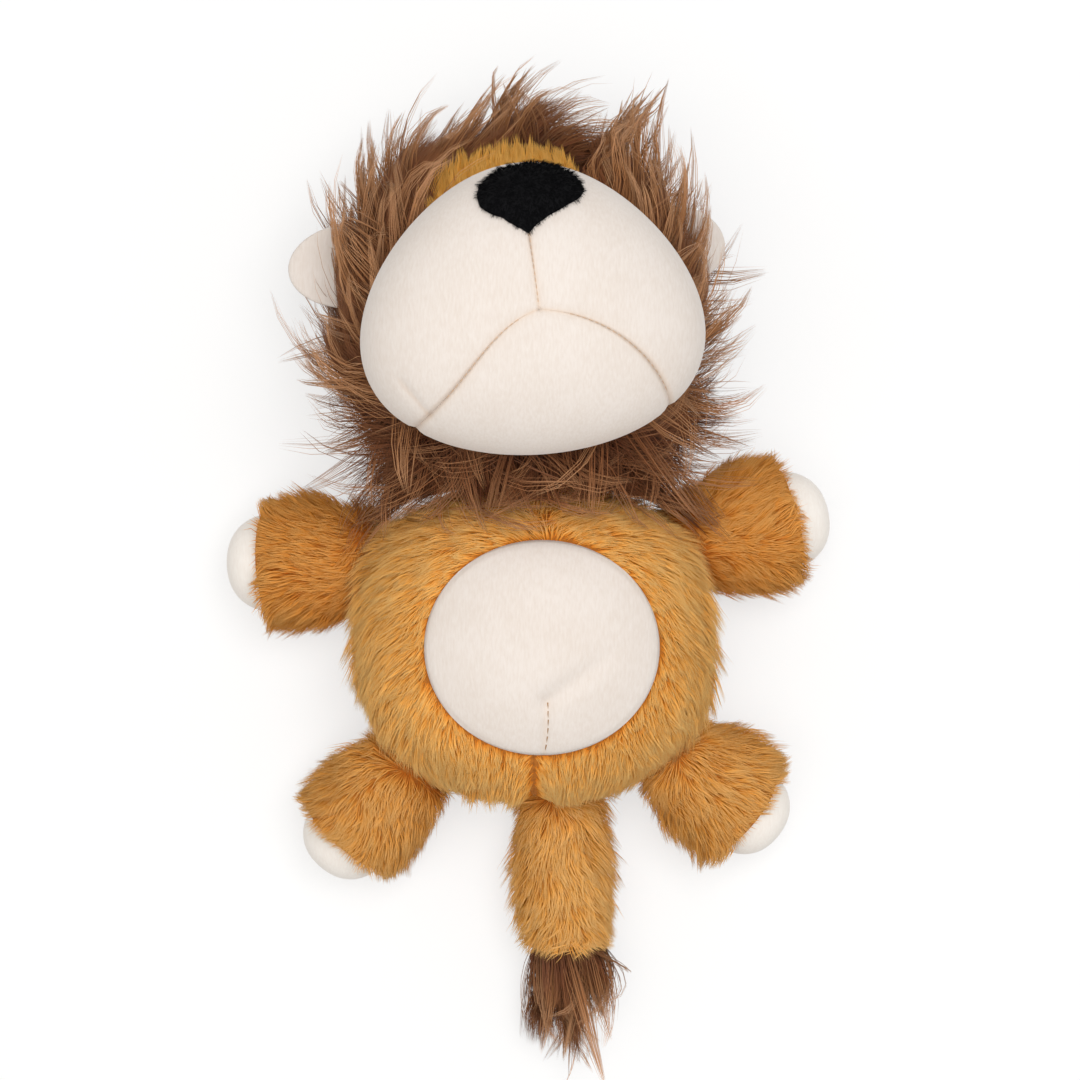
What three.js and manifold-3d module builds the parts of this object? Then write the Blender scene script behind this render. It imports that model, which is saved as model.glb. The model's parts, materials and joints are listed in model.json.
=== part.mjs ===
// A plush lion lying on its back: a stuffed egg-shaped torso, a round head with a big sewn muzzle, a long-haired mane,
// two ears, four stubby limbs with velour ends and a tail with a tuft. Every stitched panel is a piece of its own round
// a core of stuffing. Millimetres, +Z up out of the belly, +Y towards the crown, origin on the flat of the back.
import * as THREE from "three";
import { mergeVertices } from "three/addons/utils/BufferGeometryUtils.js";
import Module from "manifold-3d";

const wasm = await Module();
wasm.setup();

// Cloth, as laid thickness with its backing, and the gaps between pieces
const plushThickness = 7;
const limbPlushThickness = 5;
const facePlushThickness = 6;
const velourThickness = 2.5;
const fitGap = 0.3;
const seamGap = 0.8;
const restFlatDepth = 0.5;
const cutOverrun = 60;
const mergeTolerance = 1e-4;

// Torso, a full-bottomed egg turned about the Y axis
const torsoHalfWidth = 56;
const torsoHalfDepth = 41;
const torsoTop = 50;
const torsoBottom = 49;
const torsoTopSquareness = 2.8;
const torsoBottomSquareness = 2.2;
const sideSeamShare = 0.8;

// Belly patch, set into the front panels and plumped out by a pad of stuffing
const bellyHalfWidth = 34.5;
const bellyHalfHeight = 31.5;
const bellyX = 2.4;
const bellyY = 1.5;
const bellySwell = 2;

// Neck, a ball of stuffing that the head nods on
const neckRadius = 20;
const neckSink = 3;
const nodForwardDeg = 25;

// Head ball, lying on the back of the head
const headX = -5.5;
const headReach = 54;
const headRadius = 46;
const headTurnDeg = 6;
const headRollDeg = 4;

// Mane, the long-haired fabric round the head ball
const maneSideThickness = 16;
const maneTopThickness = 20;
const maneBottomThickness = 12;
const maneBackThickness = 4;
const maneFrontDrop = 6;
const maneFrontSquareness = 3;
const earSeamDrop = 8;

// Face panel, the plush arch between the muzzle and the mane
const faceHalfWidth = 25;
const faceHalfHeight = 20;
const faceRise = 5;
const faceFrontShare = 0.3;

// Muzzle, a bun that overhangs the face all round and is widest at the cheeks
const muzzleHalfWidth = 49;
const muzzleHalfHeight = 42.3;
const muzzleFront = 30;
const muzzleBack = 8;
const muzzleDrop = 2;
const muzzleSink = 2;
const muzzleSquareness = 2.2;
const muzzleTaperShare = 0.22;
const chinSeamLeftDeg = 217;
const chinSeamRightDeg = 319;
const mouthX = 0;
const mouthDrop = 3;

// Nose, a padded patch on the upper front of the muzzle
const noseHalfWidth = 16;
const noseTop = 13;
const noseBottom = 14;
const noseCornerRadius = 7;
const noseTipRadius = 3;
const noseThickness = 3;
const noseLiftDeg = 64;

// Eyes, two embroidered ovals high on the face panel
const eyeRadius = 2.6;
const eyeHeight = 1.3;
const eyeSpreadShare = 0.24;
const eyeRiseShare = 0.87;

// Ears, two layers sewn into the side seam of the mane
const earHalfHeight = 14;
const earReach = 20;
const earLayerThickness = 3;
const earBevel = 1;
const earRiseShare = 0.37;
const earTiltDeg = 6;
const earFlopDeg = 15;

// Limbs and tail: each one's own +X runs out from its pivot, through a round root, a swelling sleeve and its end
const arm = {
  rootRadius: 17.5,
  sleeveRadius: 22,
  mouthRadius: 20.5,
  lip: 2.5,
  sleeveLength: 27,
  endReach: 38.5,
  endTuck: 5,
  droopDeg: 8,
};
const leg = {
  rootRadius: 17,
  sleeveRadius: 21,
  mouthRadius: 19.5,
  lip: 2.5,
  sleeveLength: 26,
  endReach: 37,
  endTuck: 5,
  droopDeg: 8,
};
const tail = {
  rootRadius: 15,
  sleeveRadius: 17.5,
  mouthRadius: 14,
  lip: 3,
  sleeveLength: 42,
  endReach: 76,
  endRadius: 15,
  endTuck: 5,
  droopDeg: 4,
};
const standoffShare = 0.45;
const endSquareness = 2.4;

// Round the torso: where each limb is sewn on, where it points and how far it swings in its seam
const arms = [
  { name: "arm_left", seatDeg: 154, aimDeg: 182, kind: arm, end: "paw" },
  { name: "arm_right", seatDeg: 33, aimDeg: 12, kind: arm, end: "paw" },
];
const legs = [
  { name: "leg_left", seatDeg: 223, aimDeg: 230, kind: leg, end: "foot" },
  { name: "leg_right", seatDeg: -37, aimDeg: -38, kind: leg, end: "foot" },
];
const tailPlace = { name: "tail", seatDeg: -81, aimDeg: -87, kind: tail };

// Facets
const bodySectors = 28;
const coreSectors = 20;
const limbSectors = 16;
const limbCoreSectors = 12;
const socketSectors = 16;
const bodyRows = 5;
const limbRows = 3;
const socketRows = 4;
const nodSteps = 3;

const paints = {
  plush: new THREE.MeshStandardMaterial({ color: 0xc4872f, roughness: 0.95, metalness: 0 }),
  velour: new THREE.MeshStandardMaterial({ color: 0xf1e8de, roughness: 0.9, metalness: 0 }),
  mane: new THREE.MeshStandardMaterial({ color: 0x6b4732, roughness: 0.8, metalness: 0 }),
  nose: new THREE.MeshStandardMaterial({ color: 0x0b0b0d, roughness: 0.9, metalness: 0 }),
  thread: new THREE.MeshStandardMaterial({ color: 0x141210, roughness: 0.5, metalness: 0 }),
  stuffing: new THREE.MeshStandardMaterial({ color: 0xf7f6f3, roughness: 1, metalness: 0 }),
};

const radians = THREE.MathUtils.degToRad;
const vector = (x, y, z) => new THREE.Vector3(x, y, z);
const shiftBy = (place) => new THREE.Matrix4().makeTranslation(place);

// A closed three.js geometry as a solid that can be joined and cut.
function solid(geometry) {
  const bare = new THREE.BufferGeometry();
  bare.setAttribute("position", geometry.getAttribute("position"));
  bare.setIndex(geometry.getIndex());
  const merged = mergeVertices(bare, mergeTolerance);
  const index = merged.getIndex().array;
  const corners = [];
  for (let i = 0; i < index.length; i += 3) {
    const [a, b, c] = [index[i], index[i + 1], index[i + 2]];
    if (a !== b && b !== c && c !== a) corners.push(a, b, c);
  }
  return new wasm.Manifold(
    new wasm.Mesh({
      numProp: 3,
      vertProperties: new Float32Array(merged.getAttribute("position").array),
      triVerts: new Uint32Array(corners),
    }),
  );
}

// A solid as a named mesh.
function piece(name, shape, paint) {
  const mesh = shape.getMesh();
  const geometry = new THREE.BufferGeometry();
  geometry.setAttribute("position", new THREE.BufferAttribute(mesh.vertProperties, mesh.numProp));
  geometry.setIndex(new THREE.BufferAttribute(mesh.triVerts, 1));
  geometry.computeVertexNormals();
  const made = new THREE.Mesh(geometry, paint);
  made.name = name;
  return made;
}

const moved = (shape, matrix) => shape.transform(matrix.elements);
const joined = (shapes) => shapes.reduce((all, one) => all.add(one));

// The place of one group's frame in another's.
function frameIn(group, base) {
  group.updateWorldMatrix(true, false);
  base.updateWorldMatrix(true, false);
  return base.matrixWorld.clone().invert().multiply(group.matrixWorld);
}

// Quarter of a superellipse, from (across, 0) to (0, along).
function quarterRound(across, along, squareness, rows) {
  const points = Array.from({ length: rows + 1 }, (_, i) => {
    const turn = ((Math.PI / 2) * i) / rows;
    const power = 2 / squareness;
    return new THREE.Vector2(across * Math.cos(turn) ** power, along * Math.sin(turn) ** power);
  });
  points.at(-1).x = 0;
  return points;
}

// A round body turned about +Y from its low pole to its high pole, then pressed to its depth along Z.
function egg({ width, depth, low, high, lowSquareness = 2, highSquareness = 2 }, sectors, rows) {
  const lower = quarterRound(width, low, lowSquareness, rows);
  lower.forEach((point) => (point.y *= -1));
  const upper = quarterRound(width, high, highSquareness, rows);
  const profile = [...lower.reverse(), ...upper.slice(1)];
  return new THREE.LatheGeometry(profile, sectors).scale(1, 1, depth / width);
}

// A ball, and a socket whose flat facets all lie outside a ball of that radius.
const ball = (radius, sectors, rows) =>
  solid(egg({ width: radius, depth: radius, low: radius, high: radius }, sectors, rows));
const socketFactor = 1 / (Math.cos(Math.PI / socketSectors) * Math.cos(Math.PI / 4 / socketRows));
const socket = (radius) => ball((radius + fitGap) * socketFactor, socketSectors, socketRows);

// A box as [low, high] limits, which runs past any cut where a limit is null.
function room(xLimits, yLimits, zLimits) {
  const reach = torsoTop + headReach + headRadius + maneTopThickness + cutOverrun;
  const [x, y, z] = [xLimits, yLimits, zLimits].map((limit) => [limit?.[0] ?? -reach, limit?.[1] ?? reach]);
  const box = new THREE.BoxGeometry(x[1] - x[0], y[1] - y[0], z[1] - z[0]);
  return solid(box.translate((x[0] + x[1]) / 2, (y[0] + y[1]) / 2, (z[0] + z[1]) / 2));
}

const aboveFloor = room(null, null, [0, null]);
const leftOf = (x) => room([null, x], null, null);
const rightOf = (x) => room([x, null], null, null);
const below = (z) => room(null, null, [null, z]);
const above = (z) => room(null, null, [z, null]);

// An oval column that stands up from one height and runs past any cut.
function column(halfWidth, halfHeight, x, y, z) {
  const oval = new THREE.CylinderGeometry(1, 1, cutOverrun, bodySectors).rotateX(Math.PI / 2);
  return solid(oval.scale(halfWidth, halfHeight, 1).translate(x, y, z + cutOverrun / 2));
}

const lion = new THREE.Group();

// Torso
const torsoCentreZ = torsoHalfDepth - restFlatDepth;
const sideSeamZ = torsoHalfDepth * sideSeamShare;

function torsoBody(inset, sectors, rows = bodyRows) {
  const outline = {
    width: torsoHalfWidth - inset,
    depth: torsoHalfDepth - inset,
    low: torsoBottom - inset,
    high: torsoTop - inset,
    lowSquareness: torsoBottomSquareness,
    highSquareness: torsoTopSquareness,
  };
  return moved(solid(egg(outline, sectors, rows)), shiftBy(vector(0, 0, torsoCentreZ)));
}

// How far the torso's skin lies from its middle in one direction, at one height, found by halving.
function torsoReach(direction, z) {
  const along = direction.y < 0 ? torsoBottom : torsoTop;
  const squareness = direction.y < 0 ? torsoBottomSquareness : torsoTopSquareness;
  let [inside, outside] = [0, torsoHalfWidth + torsoTop];
  while (outside - inside > mergeTolerance) {
    const middle = (inside + outside) / 2;
    const round = Math.hypot((middle * direction.x) / torsoHalfWidth, (z - torsoCentreZ) / torsoHalfDepth);
    const full = round ** squareness + Math.abs((middle * direction.y) / along) ** squareness;
    if (full < 1) inside = middle;
    else outside = middle;
  }
  return inside;
}

// Limbs
const turned = (profile, sectors) => solid(new THREE.LatheGeometry(profile, sectors).rotateZ(-Math.PI / 2));

// A sleeve's outline in radius and distance out: the ball that seats in the torso, a swell and a rolled lip.
function sleeveProfile(kind, inset, mouth) {
  const radius = kind.rootRadius - inset;
  const root = quarterRound(radius, radius, 2, limbRows);
  root.forEach((point) => (point.y *= -1));
  const swell = new THREE.SplineCurve([
    new THREE.Vector2(radius, 0),
    new THREE.Vector2(kind.sleeveRadius - inset, kind.sleeveLength / 2),
    new THREE.Vector2(kind.mouthRadius - inset, kind.sleeveLength - kind.lip),
  ]).getPoints(limbRows + 1);
  const tip = new THREE.Vector2(kind.mouthRadius - inset - kind.lip, mouth);
  return [...root.reverse(), ...swell.slice(1), tip, new THREE.Vector2(0, mouth)];
}

// A closed end that stands out of a sleeve: straight from its root to where its dome starts.
function domeProfile(radius, root, from, reach) {
  const dome = quarterRound(radius, reach - from, endSquareness, limbRows + 1);
  dome.forEach((point) => (point.y += from));
  return [new THREE.Vector2(0, root), new THREE.Vector2(radius, root), ...dome];
}

// A limb's frame: its origin is the pivot, a little outside the torso's skin, and its floor is the lion's.
function limbGroup({ seatDeg, aimDeg, kind }) {
  const droop = radians(kind.droopDeg);
  const pivotZ = kind.sleeveRadius - restFlatDepth + (kind.sleeveLength / 2) * Math.sin(droop);
  const out = vector(Math.cos(radians(seatDeg)), Math.sin(radians(seatDeg)), 0);
  const reach = torsoReach(out, pivotZ) + kind.rootRadius * standoffShare;
  const group = new THREE.Group();
  group.position.copy(out.multiplyScalar(reach)).setZ(pivotZ);
  group.rotation.set(0, droop, radians(aimDeg), "ZYX");
  lion.add(group);
  return group;
}

function sleeve(kind, floor) {
  const outer = turned(sleeveProfile(kind, 0, kind.sleeveLength), limbSectors);
  const hollow = turned(
    sleeveProfile(kind, limbPlushThickness, kind.sleeveLength + cutOverrun),
    limbCoreSectors,
  );
  return outer.subtract(hollow).intersect(floor);
}

const seats = [];
for (const place of [...arms, ...legs]) {
  const { kind, name, end } = place;
  const group = limbGroup(place);
  const floor = moved(aboveFloor, frameIn(lion, group));
  const from = kind.sleeveLength - kind.endTuck;
  const boreRadius = kind.mouthRadius - limbPlushThickness;
  const endRadius = boreRadius - fitGap;
  const bore = new THREE.CylinderGeometry(boreRadius, boreRadius, cutOverrun, limbSectors);
  const mouth = solid(bore.rotateZ(-Math.PI / 2).translate(from + cutOverrun / 2, 0, 0));
  const lining = velourThickness + fitGap;
  const cap = turned(domeProfile(endRadius, from, from, kind.endReach), limbSectors);
  const capInside = turned(
    domeProfile(endRadius - velourThickness, from - cutOverrun, from, kind.endReach - velourThickness),
    limbCoreSectors,
  );
  const sleeveCore = turned(
    sleeveProfile(kind, limbPlushThickness + fitGap, kind.sleeveLength),
    limbCoreSectors,
  );
  const capCore = turned(
    domeProfile(endRadius - lining, kind.sleeveLength / 2, from, kind.endReach - lining),
    limbCoreSectors,
  );
  const core = sleeveCore.intersect(room([null, from - fitGap], null, null)).add(capCore);
  group.add(
    piece(name + "_sleeve", sleeve(kind, floor).subtract(mouth), paints.plush),
    piece(name + "_" + end, cap.subtract(capInside), paints.velour),
    piece(name + "_stuffing", core, paints.stuffing),
  );
  seats.push(moved(socket(kind.rootRadius), frameIn(group, lion)));
}

// Tail: a sleeve whose lip holds the tuft
{
  const group = limbGroup(tailPlace);
  const floor = moved(aboveFloor, frameIn(lion, group));
  const tuftFrom = tail.sleeveLength - tail.endTuck;
  const tuftRoot = tail.mouthRadius - tail.lip - limbPlushThickness - fitGap;
  const tuft = new THREE.SplineCurve([
    new THREE.Vector2(tuftRoot, tail.sleeveLength + fitGap),
    new THREE.Vector2(tail.endRadius, tail.sleeveLength + 2 * tail.endTuck),
    new THREE.Vector2(tail.endRadius / 2, tail.endReach - tail.endTuck),
    new THREE.Vector2(0, tail.endReach),
  ]).getPoints(2 * limbRows);
  tuft.at(-1).x = 0;
  const tuftProfile = [new THREE.Vector2(0, tuftFrom), new THREE.Vector2(tuftRoot, tuftFrom), ...tuft];
  const coreProfile = sleeveProfile(tail, limbPlushThickness + fitGap, tail.sleeveLength);
  const core = turned(coreProfile, limbCoreSectors).intersect(room([null, tuftFrom - fitGap], null, null));
  group.add(
    piece("tail_sleeve", sleeve(tail, floor), paints.plush),
    piece("tail_stuffing", core, paints.stuffing),
    piece("tail_tuft", turned(tuftProfile, limbCoreSectors).intersect(floor), paints.mane),
  );
  seats.push(moved(socket(tail.rootRadius), frameIn(group, lion)));
}
const limbSeats = joined(seats);

// Torso panels, belly patch and stuffing
const neckPlace = vector(0, torsoTop - neckSink, torsoCentreZ);
const neckSocket = moved(socket(neckRadius), shiftBy(neckPlace));
{
  const skin = torsoBody(0, bodySectors)
    .subtract(torsoBody(plushThickness, coreSectors))
    .intersect(aboveFloor)
    .subtract(limbSeats)
    .subtract(neckSocket);
  const bellyColumn = (grow) =>
    column(bellyHalfWidth + grow, bellyHalfHeight + grow, bellyX, bellyY, torsoCentreZ);
  const front = skin.intersect(above(sideSeamZ + seamGap)).subtract(bellyColumn(seamGap));
  const patch = torsoBody(plushThickness - velourThickness - bellySwell, coreSectors)
    .subtract(torsoBody(plushThickness - bellySwell, coreSectors))
    .intersect(bellyColumn(0));
  const pad = torsoBody(plushThickness - bellySwell + fitGap, coreSectors).intersect(bellyColumn(0));
  const core = torsoBody(plushThickness + fitGap, coreSectors)
    .add(pad)
    .add(moved(ball(neckRadius, socketSectors, socketRows), shiftBy(neckPlace)))
    .subtract(limbSeats);
  lion.add(
    piece("torso_back", skin.intersect(below(sideSeamZ)), paints.plush),
    piece("torso_front_left", front.intersect(leftOf(-seamGap / 2)), paints.plush),
    piece("torso_front_right", front.intersect(rightOf(seamGap / 2)), paints.plush),
    piece("belly_patch", patch, paints.velour),
    piece("torso_stuffing", core, paints.stuffing),
  );
}

// Head frame: +Z out of the face, tipped back so that the muzzle looks up from the floor
const head = new THREE.Group();
head.position.set(headX, neckPlace.y + headReach, headRadius + maneBackThickness - restFlatDepth);
head.rotation.set(0, radians(headTurnDeg), radians(headRollDeg), "ZYX");
lion.add(head);
const muzzleZ = headRadius - muzzleSink;
const mouthY = -mouthDrop;
const faceMiddle = headRadius + faceRise - faceHalfHeight;
const faceFront = faceFrontShare * headRadius;
const earSeamZ = -earSeamDrop;
const headBall = (radius) => ball(radius, coreSectors, bodyRows);

// The room that the torso takes as the head sees it through a nod.
function torsoRoom() {
  const factor = 1 / Math.cos(Math.PI / socketSectors);
  const wide = new THREE.Matrix4().makeScale(factor, 1, factor);
  const still = shiftBy(vector(0, 0, torsoCentreZ));
  const grown = moved(moved(moved(torsoBody(-fitGap, socketSectors), still.clone().invert()), wide), still);
  const whole = grown.add(neckSocket);
  const steps = Array.from({ length: nodSteps }, (_, i) => {
    const turn = new THREE.Matrix4().makeRotationX(-radians((nodForwardDeg * i) / (nodSteps - 1)));
    return moved(whole, shiftBy(neckPlace).multiply(turn).multiply(shiftBy(neckPlace.clone().negate())));
  });
  return moved(joined(steps), frameIn(lion, head));
}

// Mane, turned about +Z from the back of the head to the brow.
function maneBody() {
  const halfHeight = headRadius + (maneTopThickness + maneBottomThickness) / 2;
  const outline = {
    width: headRadius + maneSideThickness,
    depth: halfHeight,
    low: headRadius + maneBackThickness,
    high: headRadius - maneFrontDrop,
    highSquareness: maneFrontSquareness,
  };
  const body = egg(outline, bodySectors, bodyRows).rotateX(Math.PI / 2);
  return solid(body.translate(0, (maneTopThickness - maneBottomThickness) / 2, 0));
}

// Muzzle, turned about +Z and drawn in towards the nose.
function muzzleBun(inset) {
  const outline = {
    width: muzzleHalfWidth - inset,
    depth: muzzleHalfHeight - inset,
    low: muzzleBack - inset,
    high: muzzleFront - inset,
    highSquareness: muzzleSquareness,
  };
  const bun = egg(outline, bodySectors, bodyRows).rotateX(Math.PI / 2);
  const place = bun.getAttribute("position");
  for (let i = 0; i < place.count; i++) {
    place.setX(i, place.getX(i) * (1 - (muzzleTaperShare * place.getY(i)) / muzzleHalfHeight));
  }
  return solid(bun.translate(0, -muzzleDrop, muzzleZ));
}

// A wedge along Z from the corner of the mouth, between two directions, grown on both sides.
function wedge(fromDeg, toDeg, grow) {
  const reach = muzzleHalfWidth + cutOverrun;
  const middle = radians((fromDeg + toDeg) / 2);
  const start = new THREE.Vector2(Math.cos(middle), Math.sin(middle)).multiplyScalar(-grow);
  start.add(new THREE.Vector2(mouthX, mouthY));
  const rays = 4;
  const outline = new THREE.Shape([start]);
  for (let i = 0; i <= rays; i++) {
    const angle = radians(fromDeg + ((toDeg - fromDeg) * i) / rays);
    outline.lineTo(start.x + reach * Math.cos(angle), start.y + reach * Math.sin(angle));
  }
  return solid(new THREE.ExtrudeGeometry(outline, { depth: 2 * cutOverrun, bevelEnabled: false }));
}

// The nose's outline: flat on top, round at the corners and pointed below.
function noseOutline() {
  const [half, corner, tip] = [noseHalfWidth, noseCornerRadius, noseTipRadius];
  const outline = new THREE.Shape();
  outline.moveTo(corner - half, noseTop);
  outline.lineTo(half - corner, noseTop);
  outline.quadraticCurveTo(half, noseTop, half, noseTop - corner);
  outline.quadraticCurveTo(half, noseTop - 2 * corner, tip, tip - noseBottom);
  outline.quadraticCurveTo(0, -noseBottom, -tip, tip - noseBottom);
  outline.quadraticCurveTo(-half, noseTop - 2 * corner, -half, noseTop - corner);
  outline.quadraticCurveTo(-half, noseTop, corner - half, noseTop);
  return outline;
}

// Ears: two layers whose root line is the hinge, in a slot of the mane that leaves room for the flop
function earLayer(z) {
  const outline = new THREE.Shape();
  const straight = earReach - earHalfHeight;
  outline.moveTo(0, -earHalfHeight);
  outline.lineTo(straight, -earHalfHeight);
  outline.absarc(straight, 0, earHalfHeight, -Math.PI / 2, Math.PI / 2);
  outline.lineTo(0, earHalfHeight);
  const layer = new THREE.ExtrudeGeometry(outline, {
    depth: earLayerThickness - 2 * earBevel,
    bevelThickness: earBevel,
    bevelSize: earBevel,
    bevelOffset: -earBevel,
    bevelSegments: 1,
    curveSegments: 4,
  });
  return solid(layer.translate(0, 0, z + earBevel));
}

function earSlot() {
  const half = earLayerThickness + fitGap;
  const flop = radians(earFlopDeg);
  const back = -half * Math.sin(flop) - fitGap;
  const rootHalf = half / Math.cos(flop) + fitGap;
  const tipHalf = rootHalf + earReach * Math.tan(flop);
  const outline = new THREE.Shape();
  outline.moveTo(back, -rootHalf);
  outline.lineTo(earReach + fitGap, -tipHalf);
  outline.lineTo(earReach + fitGap, tipHalf);
  outline.lineTo(back, rootHalf);
  const width = 2 * (earHalfHeight + fitGap);
  const slot = new THREE.ExtrudeGeometry(outline, { depth: width, bevelEnabled: false });
  return solid(slot.translate(0, 0, -width / 2).rotateX(Math.PI / 2));
}

const earSlots = [];
for (const side of [-1, 1]) {
  const word = side < 0 ? "left" : "right";
  const ear = new THREE.Group();
  ear.position.set(side * (headRadius + fitGap), earRiseShare * headRadius, earSeamZ);
  // The left ear is turned half round, so its lining is on its other face
  ear.rotation.set(0, (side < 0 ? Math.PI : 0) - side * radians(earTiltDeg), 0);
  head.add(ear);
  const [upper, lower] = [fitGap / 2, -fitGap / 2 - earLayerThickness];
  ear.add(
    piece("ear_" + word + "_lining", earLayer(side < 0 ? lower : upper), paints.velour),
    piece("ear_" + word + "_cover", earLayer(side < 0 ? upper : lower), paints.mane),
  );
  earSlots.push(moved(earSlot(), frameIn(ear, head)));
}

// Head panels and stuffing
{
  const torso = torsoRoom();
  const slots = joined(earSlots);
  const floor = moved(aboveFloor, frameIn(lion, head));
  const muzzle = muzzleBun(-fitGap);
  const face = (grow) => column(faceHalfWidth + grow, faceHalfHeight + grow, 0, faceMiddle, faceFront - grow);
  const mane = maneBody()
    .intersect(floor)
    .subtract(headBall(headRadius + fitGap))
    .subtract(muzzle)
    .subtract(face(seamGap))
    .subtract(torso)
    .subtract(slots);
  const maneFrontHalf = mane.intersect(above(earSeamZ + seamGap));
  const faceSkin = headBall(headRadius + fitGap + facePlushThickness)
    .subtract(headBall(headRadius + fitGap))
    .intersect(face(0))
    .subtract(muzzle);
  const core = headBall(headRadius)
    .add(muzzleBun(velourThickness + fitGap))
    .intersect(floor)
    .subtract(torso);
  const bun = muzzleBun(0)
    .subtract(muzzleBun(velourThickness))
    .subtract(headBall(headRadius + fitGap));
  const cheeks = bun.subtract(wedge(chinSeamLeftDeg, chinSeamRightDeg, seamGap));
  const nosePrism = new THREE.ExtrudeGeometry(noseOutline(), {
    depth: cutOverrun,
    bevelEnabled: false,
    curveSegments: 4,
  });
  nosePrism.translate(0, 0, muzzleFront / 2).rotateX(-radians(noseLiftDeg)).translate(0, -muzzleDrop, muzzleZ);
  const nose = muzzleBun(-fitGap - noseThickness).subtract(muzzle).intersect(solid(nosePrism));
  head.add(
    piece("head_stuffing", core, paints.stuffing),
    piece("mane_back", mane.intersect(below(earSeamZ)), paints.mane),
    piece("mane_front_left", maneFrontHalf.intersect(leftOf(-seamGap / 2)), paints.mane),
    piece("mane_front_right", maneFrontHalf.intersect(rightOf(seamGap / 2)), paints.mane),
    piece("face_panel", faceSkin, paints.plush),
    piece("muzzle_cheek_left", cheeks.intersect(leftOf(mouthX - seamGap / 2)), paints.velour),
    piece("muzzle_cheek_right", cheeks.intersect(rightOf(mouthX + seamGap / 2)), paints.velour),
    piece("muzzle_chin", bun.intersect(wedge(chinSeamLeftDeg, chinSeamRightDeg, 0)), paints.velour),
    piece("nose_patch", nose, paints.nose),
  );
  for (const side of [-1, 1]) {
    const out = vector(side * eyeSpreadShare, eyeRiseShare, 0);
    out.setZ(Math.sqrt(1 - out.lengthSq()));
    const eye = new THREE.Group();
    eye.position.copy(out).multiplyScalar(headRadius + facePlushThickness + 2 * fitGap);
    eye.quaternion.setFromUnitVectors(vector(0, 1, 0), out);
    head.add(eye);
    const dome = [new THREE.Vector2(0, 0), ...quarterRound(eyeRadius, eyeHeight, 2, limbRows)];
    const stitches = solid(new THREE.LatheGeometry(dome, limbCoreSectors));
    eye.add(piece("eye_" + (side < 0 ? "left" : "right"), stitches, paints.thread));
  }
}

export default lion;
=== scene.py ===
"""A plush lion lying on its back, dressed over its packed construction.

Each stuffed piece is sewn into the room that its solid holds: a cloth skin, a pile planted on it strand by
strand, and fibre fill inside. Sizes here are millimetres in the lion's own frame, and become metres where a
mesh is made. The head, the limbs and the tail have frames of their own, which a Place turns into the lion's.
"""

import json
import logging
import math
from collections.abc import Callable, Sequence
from dataclasses import dataclass, replace
from enum import Enum

import bpy
import numpy as np
from mathutils import Matrix, Vector, kdtree
from mathutils.bvhtree import BVHTree

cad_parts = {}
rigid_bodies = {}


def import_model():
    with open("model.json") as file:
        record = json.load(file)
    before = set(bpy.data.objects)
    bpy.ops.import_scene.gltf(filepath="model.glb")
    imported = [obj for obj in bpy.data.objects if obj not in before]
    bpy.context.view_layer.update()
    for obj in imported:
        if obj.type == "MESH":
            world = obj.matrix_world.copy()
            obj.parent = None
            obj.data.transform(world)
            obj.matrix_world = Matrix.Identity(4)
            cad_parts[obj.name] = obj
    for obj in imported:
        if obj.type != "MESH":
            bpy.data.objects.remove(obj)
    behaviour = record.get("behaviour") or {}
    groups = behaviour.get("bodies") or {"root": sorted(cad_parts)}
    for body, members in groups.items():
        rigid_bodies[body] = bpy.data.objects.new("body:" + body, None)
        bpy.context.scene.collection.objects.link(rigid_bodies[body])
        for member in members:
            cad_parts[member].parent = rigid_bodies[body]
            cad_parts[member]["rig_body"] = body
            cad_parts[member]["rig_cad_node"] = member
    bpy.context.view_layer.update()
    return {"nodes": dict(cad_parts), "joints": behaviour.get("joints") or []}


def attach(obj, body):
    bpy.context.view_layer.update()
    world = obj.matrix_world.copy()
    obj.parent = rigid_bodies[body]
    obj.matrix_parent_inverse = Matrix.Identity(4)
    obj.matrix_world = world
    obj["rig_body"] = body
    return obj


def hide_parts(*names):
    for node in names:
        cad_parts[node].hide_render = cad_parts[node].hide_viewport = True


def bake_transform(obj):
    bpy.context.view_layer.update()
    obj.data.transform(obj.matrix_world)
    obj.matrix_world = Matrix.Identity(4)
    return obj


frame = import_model()

Array = np.ndarray
Comb = Callable[[Array], tuple[Array, Array]]
Field = Callable[[Array], Array]
MM = 0.001
FLOOR_CLEARANCE = 0.4
NECK = (0.0, 47.0, 40.5)
# From here, along the head's own Z, seams and the nose are dropped on the muzzle.
ABOVE_HEAD = 120.0
# Along this way no two places of a skin are level, so that it puts them in one order.
SORTING_WAY = np.array([1.0, 0.7318, 0.4142])
SEED = 20
log = logging.getLogger("lion")


class Slot(Enum):
    """The material slots that the finishes name."""

    PLUSH = "plush"
    VELOUR = "velour"
    MANE = "mane"
    NOSE = "nose"
    THREAD = "thread"
    STUFFING = "stuffing"


def unit(vectors: Array) -> Array:
    """Vectors at length one."""
    return vectors / np.maximum(np.linalg.norm(vectors, axis=-1, keepdims=True), 1e-9)


def smooth(low: float, high: float, values: Array) -> Array:
    """A soft step from 0 at low to 1 at high."""
    share = np.clip((values - low) / (high - low), 0, 1)
    return share * share * (3 - 2 * share)


def ripple(points: Array, reach: float, seed: int) -> Array:
    """A soft random swell over space, from about -1 to 1.

    Args:
        points: Places in millimetres.
        reach: How far apart the swells are, in millimetres.
        seed: Which swell it is.

    Returns:
        One value for each place.
    """
    rng = np.random.default_rng(seed)
    total = np.zeros(len(points))
    waves = 7
    for _ in range(waves):
        way = unit(rng.normal(size=3))
        total += np.sin(points @ way * (rng.uniform(0.7, 1.6) * math.tau / reach) + rng.uniform(0, math.tau))
    return total / math.sqrt(waves)


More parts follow.
